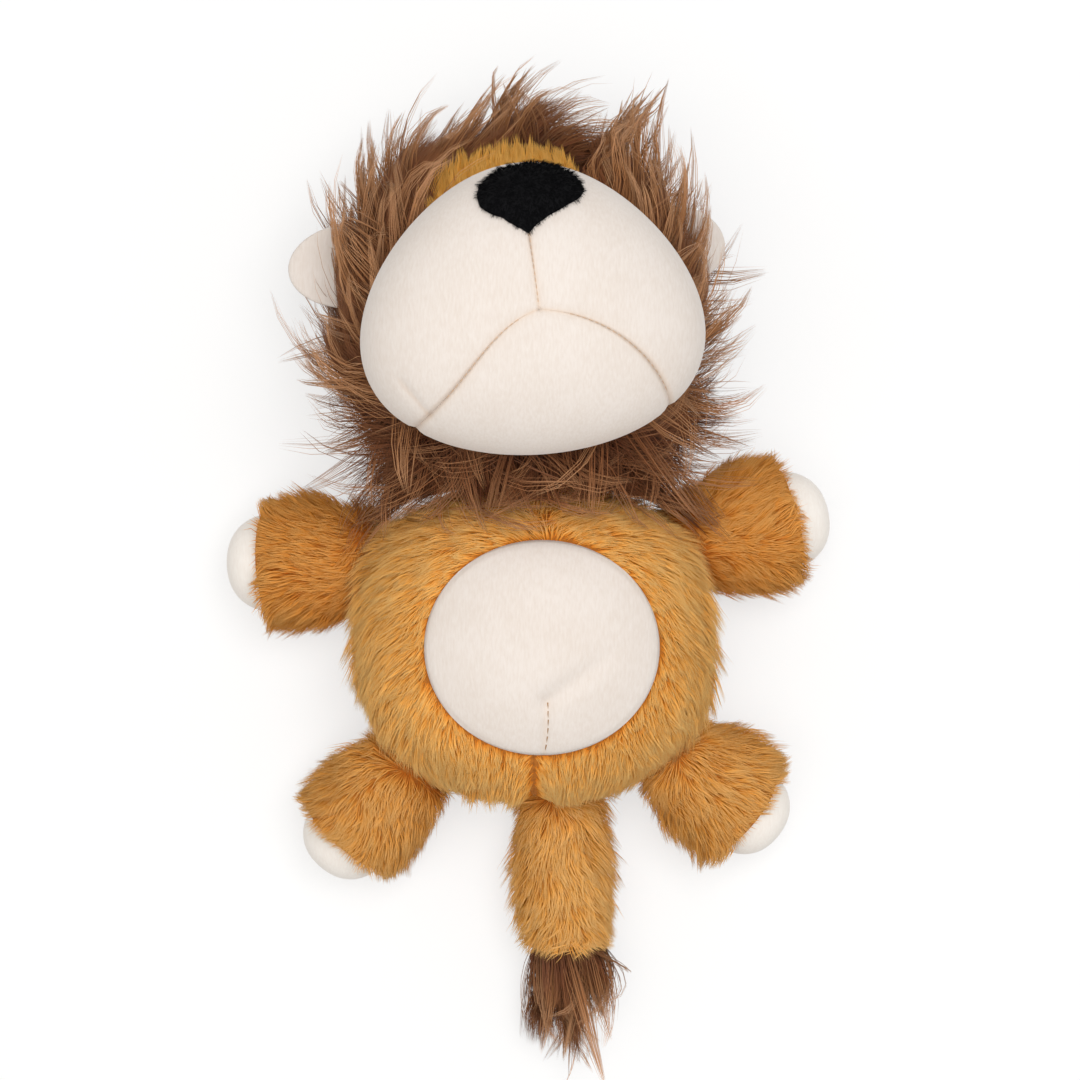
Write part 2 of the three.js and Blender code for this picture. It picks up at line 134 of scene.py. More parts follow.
def linear(colour: str) -> tuple[float, float, float, float]:
    """A colour written as on a swatch card, such as #C48A3A, as the shader wants it."""
    parts = [int(colour[i : i + 2], 16) / 255 for i in (1, 3, 5)]
    return (*(p / 12.92 if p <= 0.04045 else ((p + 0.055) / 1.055) ** 2.4 for p in parts), 1.0)


@dataclass(frozen=True)
class Place:
    """A rigid frame: how a piece's own points lie in the lion's frame."""

    turn: Array
    origin: Array

    @staticmethod
    def made(origin: Sequence[float], *turns: tuple[float, str]) -> "Place":
        """A frame from its origin and its turns in degrees, the first one outermost.

        Args:
            origin: Where the frame stands, in millimetres.
            turns: Degrees with the axis that each turns about.

        Returns:
            The frame.
        """
        matrix = Matrix.Identity(3)
        for degrees, axis in turns:
            matrix = matrix @ Matrix.Rotation(math.radians(degrees), 3, axis)
        return Place(np.array(matrix), np.array(origin, float))

    def out(self, points: Array) -> Array:
        """Points of this frame in the lion's frame."""
        return points @ self.turn.T + self.origin

    def out_way(self, ways: Array) -> Array:
        """Directions of this frame in the lion's frame."""
        return ways @ self.turn.T

    def into(self, points: Array) -> Array:
        """Points of the lion's frame in this frame."""
        return (points - self.origin) @ self.turn


HOME = Place(np.eye(3), np.zeros(3))


@dataclass(frozen=True)
class Egg:
    """A full round body about a long axis, flatter or fuller at each end.

    The width lies along X, the long axis is Y or Z (along 1 or 2), and the depth lies along the axis that is
    left.
    """

    width: float
    depth: float
    low: float
    high: float
    low_squareness: float = 2.0
    high_squareness: float = 2.0
    centre: tuple[float, float, float] = (0.0, 0.0, 0.0)
    along: int = 1
    place: Place = HOME

    def grown(self, by: float) -> "Egg":
        """The same egg with its skin moved out.

        Args:
            by: How far, in millimetres.

        Returns:
            The larger egg.
        """
        return replace(
            self, width=self.width + by, depth=self.depth + by, low=self.low + by, high=self.high + by
        )

    def level(self, points: Array) -> Array:
        """How far out each point lies: 0 at the middle and 1 on the skin.

        Args:
            points: Places in the lion's frame.

        Returns:
            One share for each place.
        """
        local = self.place.into(points) - np.array(self.centre)
        axis = local[:, self.along]
        round_share = np.hypot(local[:, 0] / self.width, local[:, 3 - self.along] / self.depth)
        reach = np.where(axis < 0, self.low, self.high)
        squareness = np.where(axis < 0, self.low_squareness, self.high_squareness)
        return (round_share**squareness + np.abs(axis / reach) ** squareness) ** (1 / squareness)

    def middle(self) -> Array:
        """The egg's middle in the lion's frame."""
        return self.place.out(np.array([self.centre]))[0]

    def skin(self, ways: Array) -> Array:
        """Where rays from the middle meet the skin."""
        middle = self.middle()
        return middle + ways / self.level(middle + ways)[:, None]

    def normals(self, points: Array) -> Array:
        """Which way is out at each point.

        Args:
            points: Places near the skin.

        Returns:
            Directions at length one.
        """
        step = 0.01
        shifts = np.eye(3) * step
        return unit(np.stack([self.level(points + s) - self.level(points - s) for s in shifts], axis=1))

    def push_out(self, points: Array) -> Array:
        """Points with those inside the egg moved out to its skin.

        Args:
            points: Any places.

        Returns:
            The places, moved.
        """
        level = np.maximum(self.level(points), 0.2)
        middle = self.middle()
        return np.where((level < 1)[:, None], middle + (points - middle) / level[:, None], points)


class Tree:
    """A material's nodes, added one at a time."""

    def __init__(self, name: str) -> None:
        """Starts a material that holds only its output.

        Args:
            name: The material's name.
        """
        self.material = bpy.data.materials.new(name)
        self.material.use_nodes = True
        self.material.node_tree.nodes.clear()
        self.output = self.add("ShaderNodeOutputMaterial")

    def add(
        self, kind: str, inputs: dict[str | int, object] | None = None, **settings: object
    ) -> bpy.types.Node:
        """Adds a node.

        Args:
            kind: The node's type.
            inputs: Socket names with what they take: a value, or another node's output.
            settings: The node's own settings.

        Returns:
            The node.
        """
        node = self.material.node_tree.nodes.new(kind)
        for key, value in settings.items():
            setattr(node, key, value)
        for key, value in (inputs or {}).items():
            if isinstance(value, bpy.types.NodeSocket):
                self.material.node_tree.links.new(value, node.inputs[key])
            else:
                node.inputs[key].default_value = value
        return node

    def ramp(self, share: bpy.types.NodeSocket, stops: Sequence[tuple[float, str]]) -> bpy.types.NodeSocket:
        """A row of dyes, one running into the next as share goes from 0 to 1.

        Args:
            share: What picks the dye.
            stops: Positions with their dyes.

        Returns:
            The dye's socket.
        """
        node = self.add("ShaderNodeValToRGB", {"Fac": share})
        elements = node.color_ramp.elements
        while len(elements) < len(stops):
            elements.new(0.5)
        for element, (position, colour) in zip(elements, stops):
            element.position = position
            element.color = linear(colour)
        return node.outputs["Color"]

    def noise(
        self, scale: float, detail: float = 2.0, stretch: tuple[float, float, float] = (1, 1, 1)
    ) -> bpy.types.NodeSocket:
        """Random mottling over the object, with so many swells to a metre, drawn out where stretch is below 1.

        Args:
            scale: Swells to a metre.
            detail: How finely broken they are.
            stretch: Their shares of that scale along X, Y and Z.

        Returns:
            The mottling's socket.
        """
        where = self.add("ShaderNodeTexCoord").outputs["Object"]
        drawn = self.add("ShaderNodeMapping", {"Vector": where, "Scale": stretch}).outputs["Vector"]
        inputs = {"Vector": drawn, "Scale": scale, "Detail": detail}
        return self.add("ShaderNodeTexNoise", inputs).outputs["Fac"]

    def math(self, operation: str, *values: object) -> bpy.types.NodeSocket:
        """One sum on one to three values."""
        return self.add("ShaderNodeMath", dict(enumerate(values)), operation=operation).outputs[0]

    def bump(self, height: bpy.types.NodeSocket, depth: float) -> bpy.types.NodeSocket:
        """A relief of some millimetres."""
        settings = {"Height": height, "Distance": depth * MM, "Strength": 1.0}
        return self.add("ShaderNodeBump", settings).outputs["Normal"]

    def finish(self, **inputs: object) -> bpy.types.Material:
        """Ends the material in a shader.

        Args:
            inputs: What the shader's inputs take, named with underscores for spaces.

        Returns:
            The material.
        """
        named = {key.replace("_", " "): value for key, value in inputs.items()}
        shader = self.add("ShaderNodeBsdfPrincipled", named)
        self.material.node_tree.links.new(shader.outputs[0], self.output.inputs["Surface"])
        return self.material


@dataclass(frozen=True)
class PileFinish:
    """How strands are coloured from root to tip, darker roots partly dye and partly painted shade, and how they
    shine.
    """

    name: str
    slot: Slot
    root: str
    middle: str
    tip: str
    roughness: float = 0.7
    shine: float = 0.2
    sheen: float = 0.0
    patchiness: float = 0.35
    middle_share: float = 0.45

    def material(self) -> bpy.types.Material:
        """The strands' colour from root to tip, dyed and with painted shade at the root, varied by clump and by
        strand.

        Returns:
            The material.
        """
        tree = Tree(self.name)
        strand = tree.add("ShaderNodeAttribute", attribute_name="strand").outputs["Color"]
        parts = tree.add("ShaderNodeSeparateColor", {"Color": strand}).outputs
        # The darker root colour is partly the strands' own dye and partly painted shade deep in the pile.
        dye = tree.ramp(parts["Red"], [(0, self.root), (self.middle_share, self.middle), (1, self.tip)])
        clump = tree.math("MULTIPLY_ADD", parts["Green"], self.patchiness, 1 - self.patchiness / 2)
        own = tree.math("MULTIPLY_ADD", parts["Blue"], self.patchiness, 1 - self.patchiness / 2)
        value = tree.math("MULTIPLY", clump, own)
        colour = tree.add("ShaderNodeHueSaturation", {"Value": value, "Color": dye}).outputs["Color"]
        return tree.finish(
            Base_Color=colour,
            Roughness=self.roughness,
            Specular_IOR_Level=self.shine,
            Sheen_Weight=self.sheen,
            Sheen_Roughness=0.5,
            Sheen_Tint=linear(self.tip),
        )


@dataclass(frozen=True)
class VelourFinish:
    """Short cut velour: mottled where the pile lies this way and that, and deeper in colour along its seams."""

    name: str
    slot: Slot
    light: str
    dark: str
    seam: str
    grain: float = 0.05
    sheen: float = 0.25

    def material(self) -> bpy.types.Material:
        """The cloth's dye and relief.

        Returns:
            The material.
        """
        tree = Tree(self.name)
        patches = tree.noise(60, 3)
        grain = tree.noise(1600, 2, (1, 0.22, 0.6))
        mixed = tree.math("MULTIPLY_ADD", grain, 0.6, tree.math("MULTIPLY", patches, 0.4))
        cloth = tree.ramp(mixed, [(0.35, self.dark), (0.62, self.light)])
        seam = tree.add("ShaderNodeAttribute", attribute_name="seam").outputs["Fac"]
        colour = tree.add(
            "ShaderNodeMix", {0: seam, 6: cloth, 7: linear(self.seam)}, data_type="RGBA"
        ).outputs[2]
        return tree.finish(
            Base_Color=colour,
            Roughness=0.9,
            Specular_IOR_Level=0.2,
            Sheen_Weight=self.sheen,
            Sheen_Roughness=0.4,
            Normal=tree.bump(grain, self.grain),
        )


@dataclass(frozen=True)
class ClothFinish:
    """Knitted backing under a pile, fibre fill, or thread: two close dyes mottled over a fine relief."""

    name: str
    slot: Slot
    light: str
    dark: str
    grain: float = 0.2
    scale: float = 900.0
    roughness: float = 0.95

    def material(self) -> bpy.types.Material:
        """The cloth's dye and relief.

        Returns:
            The material.
        """
        tree = Tree(self.name)
        mottle = tree.noise(self.scale, 3)
        return tree.finish(
            Base_Color=tree.ramp(mottle, [(0.35, self.dark), (0.65, self.light)]),
            Roughness=self.roughness,
            Specular_IOR_Level=0.2,
            Normal=tree.bump(mottle, self.grain),
        )


Finish = PileFinish | VelourFinish | ClothFinish

# Painted light: the torso's pile is a brighter copy of the ochre pile, lightened so that its steep flanks look
# more brightly lit.
TORSO_LIT_PILE = PileFinish(
    "pale_ochre_pile", Slot.PLUSH, "#DE7E20", "#FFB456", "#FFD48A", shine=0.06, patchiness=0.12
)
PLUSH_PILE = PileFinish(
    "ochre_pile", Slot.PLUSH, "#D27826", "#F6AE54", "#FDCE88", shine=0.06, patchiness=0.12
)
# Painted shade: the arms' pile is a darker copy of the ochre pile, for the arms lying lower in shade.
ARM_SHADED_PILE = PileFinish(
    "deep_ochre_pile", Slot.PLUSH, "#BC6018", "#DF903C", "#F0B468", shine=0.06, patchiness=0.14
)
# Painted shade: the legs' pile is a darker copy of the ochre pile, for the legs lying lower in shade.
LEG_SHADED_PILE = PileFinish(
    "ochre_limb_pile", Slot.PLUSH, "#C66A1C", "#E99F48", "#F6C27A", shine=0.06, patchiness=0.14
)
FACE_PILE = PileFinish(
    "bright_ochre_pile", Slot.PLUSH, "#C4741E", "#E8A040", "#F8C068", shine=0.06, patchiness=0.2
)
PLUSH_BACKING = ClothFinish("ochre_backing", Slot.PLUSH, "#C47A30", "#AE6828")
MANE_HAIR = PileFinish(
    "brown_hair", Slot.MANE, "#40200D", "#78472A", "#98643F", roughness=0.5, shine=0.25, patchiness=0.5
)
MANE_LOCKS = PileFinish(
    "tan_hair", Slot.MANE, "#4C2912", "#98663E", "#CE9C72", roughness=0.5, shine=0.25, patchiness=0.6
)
# Painted shade: the beard's hair is a darker copy of the mane's brown hair, for the shade under the muzzle.
BEARD_SHADED_HAIR = PileFinish(
    "shade_darkened_hair", Slot.MANE, "#2A1206", "#5A301B", "#885838", roughness=0.5, shine=0.2, patchiness=0.5
)
# Painted shade: the beard's locks are a darker copy of the mane's tan locks, for the shade under the muzzle.
BEARD_SHADED_LOCKS = PileFinish(
    "shade_darkened_locks", Slot.MANE, "#3C1E0E", "#7C4C2C", "#BC885E", roughness=0.5, shine=0.25, patchiness=0.7
)
MANE_BACKING = ClothFinish("brown_backing", Slot.MANE, "#4A2A16", "#2E1A0D")
VELOUR = VelourFinish("cream_velour", Slot.VELOUR, "#E9E0D8", "#E2D7CD", "#DEBE9E")
# Painted light: the paws and feet take a brighter copy of the cream velour, to look lit where they lie in the
# sleeves' shade.
END_LIT_VELOUR = VelourFinish("pale_velour", Slot.VELOUR, "#FBF5ED", "#F6EEE5", "#E6CAB0")
SEAM_THREAD = PileFinish(
    "peach_thread", Slot.VELOUR, "#D4B394", "#D4B394", "#DEC2A8", shine=0.1, patchiness=0.3
)
DART_THREAD = PileFinish(
    "tan_thread", Slot.VELOUR, "#A8825C", "#A8825C", "#B8946E", shine=0.1, patchiness=0.3
)
NOSE_VELOUR = VelourFinish("black_velour", Slot.NOSE, "#0E0E11", "#060608", "#050506", sheen=0.05)
NOSE_NAP = PileFinish(
    "black_nap", Slot.NOSE, "#040405", "#08080A", "#101013", roughness=0.9, shine=0.1, sheen=0.05,
    patchiness=0.4,
)
EYE_THREAD = ClothFinish("eye_thread", Slot.THREAD, "#1A1613", "#0E0C0A", roughness=0.45)
FIBRE_FILL = ClothFinish("fibre_fill", Slot.STUFFING, "#F7F6F3", "#E8E6E1", grain=0.8, scale=200.0)

made_materials: dict[str, bpy.types.Material] = {}


def material_of(finish: Finish) -> bpy.types.Material:
    """The one material of a finish, made when it is first asked for.

    Args:
        finish: The finish.

    Returns:
        Its material.
    """
    if finish.name not in made_materials:
        made_materials[finish.name] = finish.material()
    return made_materials[finish.name]


def dress(
    piece: bpy.types.Object,
    finish: Finish,
    body: str,
    stands_for: Sequence[str] = (),
) -> None:
    """Gives a finished piece its material, its body and the nodes that it stands for.

    Args:
        piece: The piece.
        finish: What it is made of.
        body: The body that it moves with.
        stands_for: The nodes that it is shown in place of.
    """
    piece.data.materials.clear()
    piece.data.materials.append(material_of(finish))
    piece.data.shade_smooth()
    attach(piece, body)
    if stands_for:
        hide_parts(*stands_for)
    log.info("%s: %d faces, on %s", piece.name, len(piece.data.polygons), body)


def joint_point(name: str) -> Array:
    """Where a joint of the construction lies, in millimetres."""
    (joint,) = [j for j in frame["joints"] if j["name"] == name]
    return np.array(joint["pos_m"]) / MM


def pick(piece: bpy.types.Object) -> None:
    """Selects one object alone and makes it the active one.

    Args:
        piece: The object.
    """
    bpy.ops.object.select_all(action="DESELECT")
    piece.select_set(True)
    bpy.context.view_layer.objects.active = piece


def read_points(piece: bpy.types.Object) -> Array:
    """A mesh's vertices in millimetres.

    Args:
        piece: The mesh's object.

    Returns:
        One place for each vertex.
    """
    flat = np.empty(len(piece.data.vertices) * 3)
    piece.data.vertices.foreach_get("co", flat)
    return flat.reshape(-1, 3) / MM


def write_points(piece: bpy.types.Object, points: Array) -> None:
    """Moves a mesh's vertices to places in millimetres."""
    piece.data.vertices.foreach_set("co", (points * MM).astype(np.float32).ravel())
    piece.data.update()


def add_ball(name: str, segments: int, rings: int) -> bpy.types.Object:
    """A ball of radius one millimetre with its poles on Z, to be shaped.

    Args:
        name: The piece's name.
        segments: Faces round it.
        rings: Faces from pole to pole.

    Returns:
        The ball.
    """
    bpy.ops.object.select_all(action="DESELECT")
    bpy.ops.mesh.primitive_uv_sphere_add(segments=segments, ring_count=rings, radius=MM)
    piece = bpy.context.object
    piece.name = name
    return piece


def add_disc(name: str, cells: int) -> bpy.types.Object:
    """A flat round disc of radius one millimetre, gridded without a pole, to be shaped.

    Args:
        name: The piece's name.
        cells: Faces across it.

    Returns:
        The disc.
    """
    bpy.ops.object.select_all(action="DESELECT")
    bpy.ops.mesh.primitive_grid_add(x_subdivisions=cells, y_subdivisions=cells, size=2 * MM)
    piece = bpy.context.object
    piece.name = name
    x, y, _ = read_points(piece).T
    write_points(piece, np.stack([x * np.sqrt(1 - y * y / 2), y * np.sqrt(1 - x * x / 2), 0 * x], axis=1))
    return piece


def spin_outline(name: str, outline: Array, steps: int) -> bpy.types.Object:
    """Turns an outline of (distance out, radius) once round the X axis into a closed skin.

    Args:
        name: The piece's name.
        outline: Points from the root to the end, in millimetres.
        steps: How many copies make the turn.

    Returns:
        The skin, with its doubles merged and its faces outward.
    """
    mesh = bpy.data.meshes.new(name)
    points = [(x * MM, 0, r * MM) for x, r in outline]
    mesh.from_pydata(points, [(i, i + 1) for i in range(len(points) - 1)], [])
    piece = bpy.data.objects.new(name, mesh)
    bpy.context.scene.collection.objects.link(piece)
    pick(piece)
    bpy.ops.object.mode_set(mode="EDIT")
    bpy.ops.mesh.select_all(action="SELECT")
    bpy.ops.mesh.spin(steps=steps, angle=math.tau, center=(0, 0, 0), axis=(1, 0, 0))
    bpy.ops.mesh.select_all(action="SELECT")
    bpy.ops.mesh.remove_doubles(threshold=0.02 * MM)
    bpy.ops.mesh.normals_make_consistent(inside=False)
    bpy.ops.object.mode_set(mode="OBJECT")
    return piece


def trim(piece: bpy.types.Object, point: Sequence[float], way: Sequence[float]) -> None:
    """Cuts a piece along a plane and drops what lies on the way's side of it.

    Args:
        piece: The piece.
        point: A point on the plane, in millimetres.
        way: The side that goes.
    """
    pick(piece)
    bpy.ops.object.mode_set(mode="EDIT")
    bpy.ops.mesh.select_all(action="SELECT")
    bpy.ops.mesh.bisect(plane_co=[c * MM for c in point], plane_no=way, clear_outer=True)
    bpy.ops.object.mode_set(mode="OBJECT")


def face_middles(piece: bpy.types.Object) -> Array:
    """The middles of a mesh's faces in millimetres.

    Args:
        piece: The mesh's object.

    Returns:
        One place for each face.
    """
    flat = np.empty(len(piece.data.polygons) * 3)
    piece.data.polygons.foreach_get("center", flat)
    return flat.reshape(-1, 3) / MM


def facings_of(piece: bpy.types.Object) -> Array:
    """Which way is out at each of a mesh's vertices.

    Args:
        piece: The mesh's object.

    Returns:
        One direction for each vertex.
    """
    flat = np.empty(len(piece.data.vertices) * 3)
    piece.data.vertex_normals.foreach_get("vector", flat)
    return flat.reshape(-1, 3)


def drop_faces(piece: bpy.types.Object, marks: Array) -> None:
    """Deletes the marked faces.

    Args:
        piece: The piece.
        marks: True for each face that goes.
    """
    pick(piece)
    bpy.ops.object.mode_set(mode="EDIT")
    bpy.ops.mesh.select_mode(type="FACE")
    bpy.ops.mesh.select_all(action="DESELECT")
    bpy.ops.object.mode_set(mode="OBJECT")
    piece.data.polygons.foreach_set("select", marks)
    bpy.ops.object.mode_set(mode="EDIT")
    bpy.ops.mesh.delete(type="FACE")
    bpy.ops.object.mode_set(mode="OBJECT")


def copied(piece: bpy.types.Object, name: str) -> bpy.types.Object:
    """A copy of a piece with its own mesh.

    Args:
        piece: What is copied.
        name: The copy's name.

    Returns:
        The copy.
    """
    twin = piece.copy()
    twin.data = piece.data.copy()
    twin.name = name
    bpy.context.scene.collection.objects.link(twin)
    return twin


def modify(piece: bpy.types.Object, kind: str, **settings: object) -> None:
    """Adds a modifier and applies it.

    Args:
        piece: The piece.
        kind: The modifier's type.
        settings: The modifier's own settings.
    """
    pick(piece)
    modifier = piece.modifiers.new(kind.lower(), kind)
    for key, value in settings.items():
        setattr(modifier, key, value)
    bpy.ops.object.modifier_apply(modifier=modifier.name)


def thicken(piece: bpy.types.Object, thickness: float) -> None:
    """Gives a skin its wall, inward, with closed edges."""
    modify(piece, "SOLIDIFY", thickness=thickness * MM, offset=-1, use_even_offset=False)


def inflate(piece: bpy.types.Object, held: Array, pressure: float, cap: float, frames: int = 20) -> None:
    """Plumps a sewn skin from inside by simulated cloth, without gravity.

    Args:
        piece: The skin.
        held: How firmly each vertex is held, from 0 to 1.
        pressure: The pressure inside.
        cap: How far a point may move, in millimetres.
        frames: How many steps it plumps.
    """
    before = read_points(piece)
    group = piece.vertex_groups.new(name="held")
    for weight in np.unique(held):
        if weight > 0:
            group.add(np.flatnonzero(held == weight).tolist(), float(weight), "REPLACE")
    pick(piece)
    modifier = piece.modifiers.new("cloth", "CLOTH")
    cloth = modifier.settings
    cloth.quality = 5
    cloth.mass = 0.2
    cloth.tension_stiffness = 8
    cloth.compression_stiffness = 8
    cloth.shear_stiffness = 4
    cloth.bending_stiffness = 0.4
    cloth.use_pressure = True
    cloth.uniform_pressure_force = pressure
    cloth.vertex_group_mass = "held"
    cloth.effector_weights.gravity = 0
    modifier.collision_settings.use_collision = False
    scene = bpy.context.scene
    for number in range(1, frames + 1):
        scene.frame_set(number)
    bpy.ops.object.modifier_apply(modifier=modifier.name)
    scene.frame_set(1)
    moved = read_points(piece) - before
    reach = np.linalg.norm(moved, axis=1, keepdims=True)
    log.info("%s plumped by %.2f mm at most", piece.name, reach.max())
    write_points(piece, before + moved * np.minimum(1, cap / np.maximum(reach, 1e-6)))
    piece.vertex_groups.clear()


@dataclass(frozen=True)
class Surface:
    """The outer face of a sewn skin, kept for planting a pile on it."""

    corners: Array
    facings: Array
    areas: Array

    @staticmethod
    def of(piece: bpy.types.Object) -> "Surface":
        """Reads the triangles of a skin, sorted by place, because edit mode leaves the faces in any order.

        Args:
            piece: The skin.

        Returns:
            Its surface.
        """
        mesh = piece.data
        points, facings = read_points(piece), facings_of(piece)
        along = points @ SORTING_WAY
        index = np.empty(len(mesh.loops), int)
        mesh.loops.foreach_get("vertex_index", index)
        starts, sizes = np.empty(len(mesh.polygons), int), np.empty(len(mesh.polygons), int)
        mesh.polygons.foreach_get("loop_start", starts)
        mesh.polygons.foreach_get("loop_total", sizes)
        found = []
        for size in np.unique(sizes):
            faces = index[starts[sizes == size][:, None] + np.arange(size)]
            first = np.argmin(along[faces], axis=1)
            faces = np.take_along_axis(faces, (first[:, None] + np.arange(size)) % size, axis=1)
            found += [faces[:, [0, step, step + 1]] for step in range(1, size - 1)]
        triangles = np.concatenate(found)
        triangles = triangles[np.argsort(along[triangles].sum(axis=1), kind="stable")]
        c = points[triangles]
        areas = np.linalg.norm(np.cross(c[:, 1] - c[:, 0], c[:, 2] - c[:, 0]), axis=1) / 2
        return Surface(c, facings[triangles], areas)

    def scatter(
        self, density: float, rng: np.random.Generator, share: Callable[[Array], Array] | None = None
    ) -> tuple[Array, Array]:
        """Roots spread over the skin.

        Args:
            density: Roots to a square millimetre.
            rng: The random draws.
            share: How much of that density each place has, from 0 to 1.

        Returns:
            The roots and their facings.
        """
        weights = self.areas.copy()
        if share is not None:
            weights *= np.clip(share(self.corners.mean(axis=1)), 0, 1)
        count = int(weights.sum() * density)
        picked = rng.choice(len(weights), size=count, p=weights / weights.sum())
        a, b = rng.random((2, count))
        over = a + b > 1
        a[over], b[over] = 1 - a[over], 1 - b[over]
        mix = np.stack([1 - a - b, a, b], axis=1)[:, :, None]
        return (self.corners[picked] * mix).sum(axis=1), unit((self.facings[picked] * mix).sum(axis=1))


def evenly(points: Array) -> Array:
    """The same everywhere."""
    return np.ones(len(points))


@dataclass(frozen=True)
class Groom:
    """How a pile is brushed and trimmed from place to place, and what it lies round.

    The comb gives the way off the skin and the way that the pile lies. cover is the share of the pile's density
    that grows at a place, and length and lift are shares of its own. guards are what the strands lie round.
    """

    comb: Comb
    cover: Field = evenly
    length: Field = evenly
    lift: Field = evenly
    guards: tuple[Egg, ...] = ()


@dataclass(frozen=True)
class Pile:
    """How a pile stands, lies and clumps. Lengths are millimetres and angles are degrees.

    lift is the angle off the skin at the root, and fall the share of it that is gone at the tip. Strands
    within clump of each other draw together by pull at their tips, and those within lock by lock_pull. Whole
    locks stray by up to sway and turn sideways by up to curl. weight is how much the tips hang down. hug is how
    closely strands keep to the skin where the comb would have them leave it. softness is how much they take the
    light as the skin would.
    """

    length: float
    width: float
    steps: int
    density: float
    lift: float
    fall: float = 0.6
    spread: float = 0.2
    clump: float = 4.0
    pull: float = 0.6
    lock: float = 0.0
    lock_pull: float = 0.0
    sway: float = 0.0
    curl: float = 20.0
    wander: float = 12.0
    weight: float = 0.0
    lift_spread: float = 0.25
    hug: float = 1.0
    softness: float = 1.0

    def families(self, roots: Array, reach: float, rng: np.random.Generator) -> tuple[Array, Array]:
        """Which strand leads each strand, with leads about reach apart.

        Args:
            roots: The strands' roots.
            reach: How far apart the leads are, in millimetres.
            rng: The random draws.

        Returns:
            The lead's index for each strand, and a number for each strand that its family shares.
        """
        count = max(1, int(len(roots) / (self.density * reach * reach)))
        leads = rng.choice(len(roots), size=min(count, len(roots)), replace=False)
        tree = kdtree.KDTree(len(leads))
        for number, lead in enumerate(leads):
            tree.insert(roots[lead], number)
        tree.balance()
        nearest = np.array([tree.find(root)[1] for root in roots])
        return leads[nearest], nearest

    def laid(self, flow: Array, off: Array) -> Array:
        """The comb's way, kept to the skin as closely as this pile keeps."""
        rise = np.sum(flow * off, axis=1, keepdims=True)
        return unit(flow - off * np.where(rise > 0, rise * self.hug, rise))

    def grow(self, surface: "Surface", groom: Groom, seed: int) -> "Strands":
        """Plants the pile on a skin and grows its strands a step at a time.

        Args:
            surface: The skin.
            groom: How the pile is brushed and trimmed.
            seed: Which random draws it takes.

        Returns:
            The strands.
        """
        rng = np.random.default_rng(SEED + seed)
        roots, facings = surface.scatter(self.density, rng, groom.cover)
        count = len(roots)
        lead, family = self.families(roots, self.clump, rng)
        per_family = rng.normal(size=(family.max() + 1, 4))[family]
        lock_lead, lock = self.families(roots, self.lock, rng) if self.lock else (lead, family)
        per_lock = rng.normal(size=(lock.max() + 1, 4))[lock]
        own = rng.normal(size=(count, 4))
        strays = 0.6 * per_family[:, 0] + 0.4 * own[:, 0] + 0.7 * per_lock[:, 0] * bool(self.lock)
        jitter = self.spread * strays
        length = self.length * groom.length(roots) * np.clip(1 + jitter, 0.4, 1.6)
        slack = 1 + self.lift_spread * (0.6 * per_family[:, 1] + 0.4 * own[:, 1] + 0.4 * per_lock[:, 1])
        lift = np.radians(self.lift) * groom.lift(roots) * slack
        bend = np.radians(self.curl) * (0.7 * per_lock[:, 2] + 0.6 * per_family[:, 2])
        aside = np.radians(self.wander) * (0.6 * own[:, 3] + 0.6 * per_family[:, 3])
        aside += np.radians(self.sway) * per_lock[:, 3]
        point = roots
        path, ups = [roots], [facings]
        for step in range(1, self.steps + 1):
            share = (step - 0.5) / self.steps
            field_off, field_flow = groom.comb(point)
            off = unit(facings * (1 - share) + field_off * share) if step > 1 else facings
            flow = self.laid(field_flow, off)
            side = unit(np.cross(off, flow))
            angle = lift * (1 - self.fall * share)
            turn = aside + bend * share
            way = flow * np.cos(turn)[:, None] + side * np.sin(turn)[:, None]
            way = way * np.cos(angle)[:, None] + off * np.sin(angle)[:, None]
            way[:, 2] -= self.weight * share
            point = point + unit(way) * (length / self.steps)[:, None]
            for guard in groom.guards:
                point = guard.push_out(point)
            point[:, 2] = np.maximum(point[:, 2], FLOOR_CLEARANCE)
            path.append(point)
            ups.append(off)
        paths = np.stack(path, axis=1)
        share = (np.linspace(0, 1, self.steps + 1) ** 1.2)[None, :, None]
        if self.lock_pull:
            paths = paths + (paths[lock_lead] - paths) * share * self.lock_pull
        paths = paths + (paths[lead] - paths) * share * self.pull
        paths[:, :, 2] = np.maximum(paths[:, :, 2], FLOOR_CLEARANCE)
        shades = np.clip(0.5 + 0.2 * np.stack([per_family[:, 0], own[:, 2]], axis=1), 0, 1)
        widths = self.width * np.clip(1 + 0.2 * own[:, 1], 0.5, None)
        return Strands(paths, np.stack(ups, axis=1), widths, shades, self.softness)


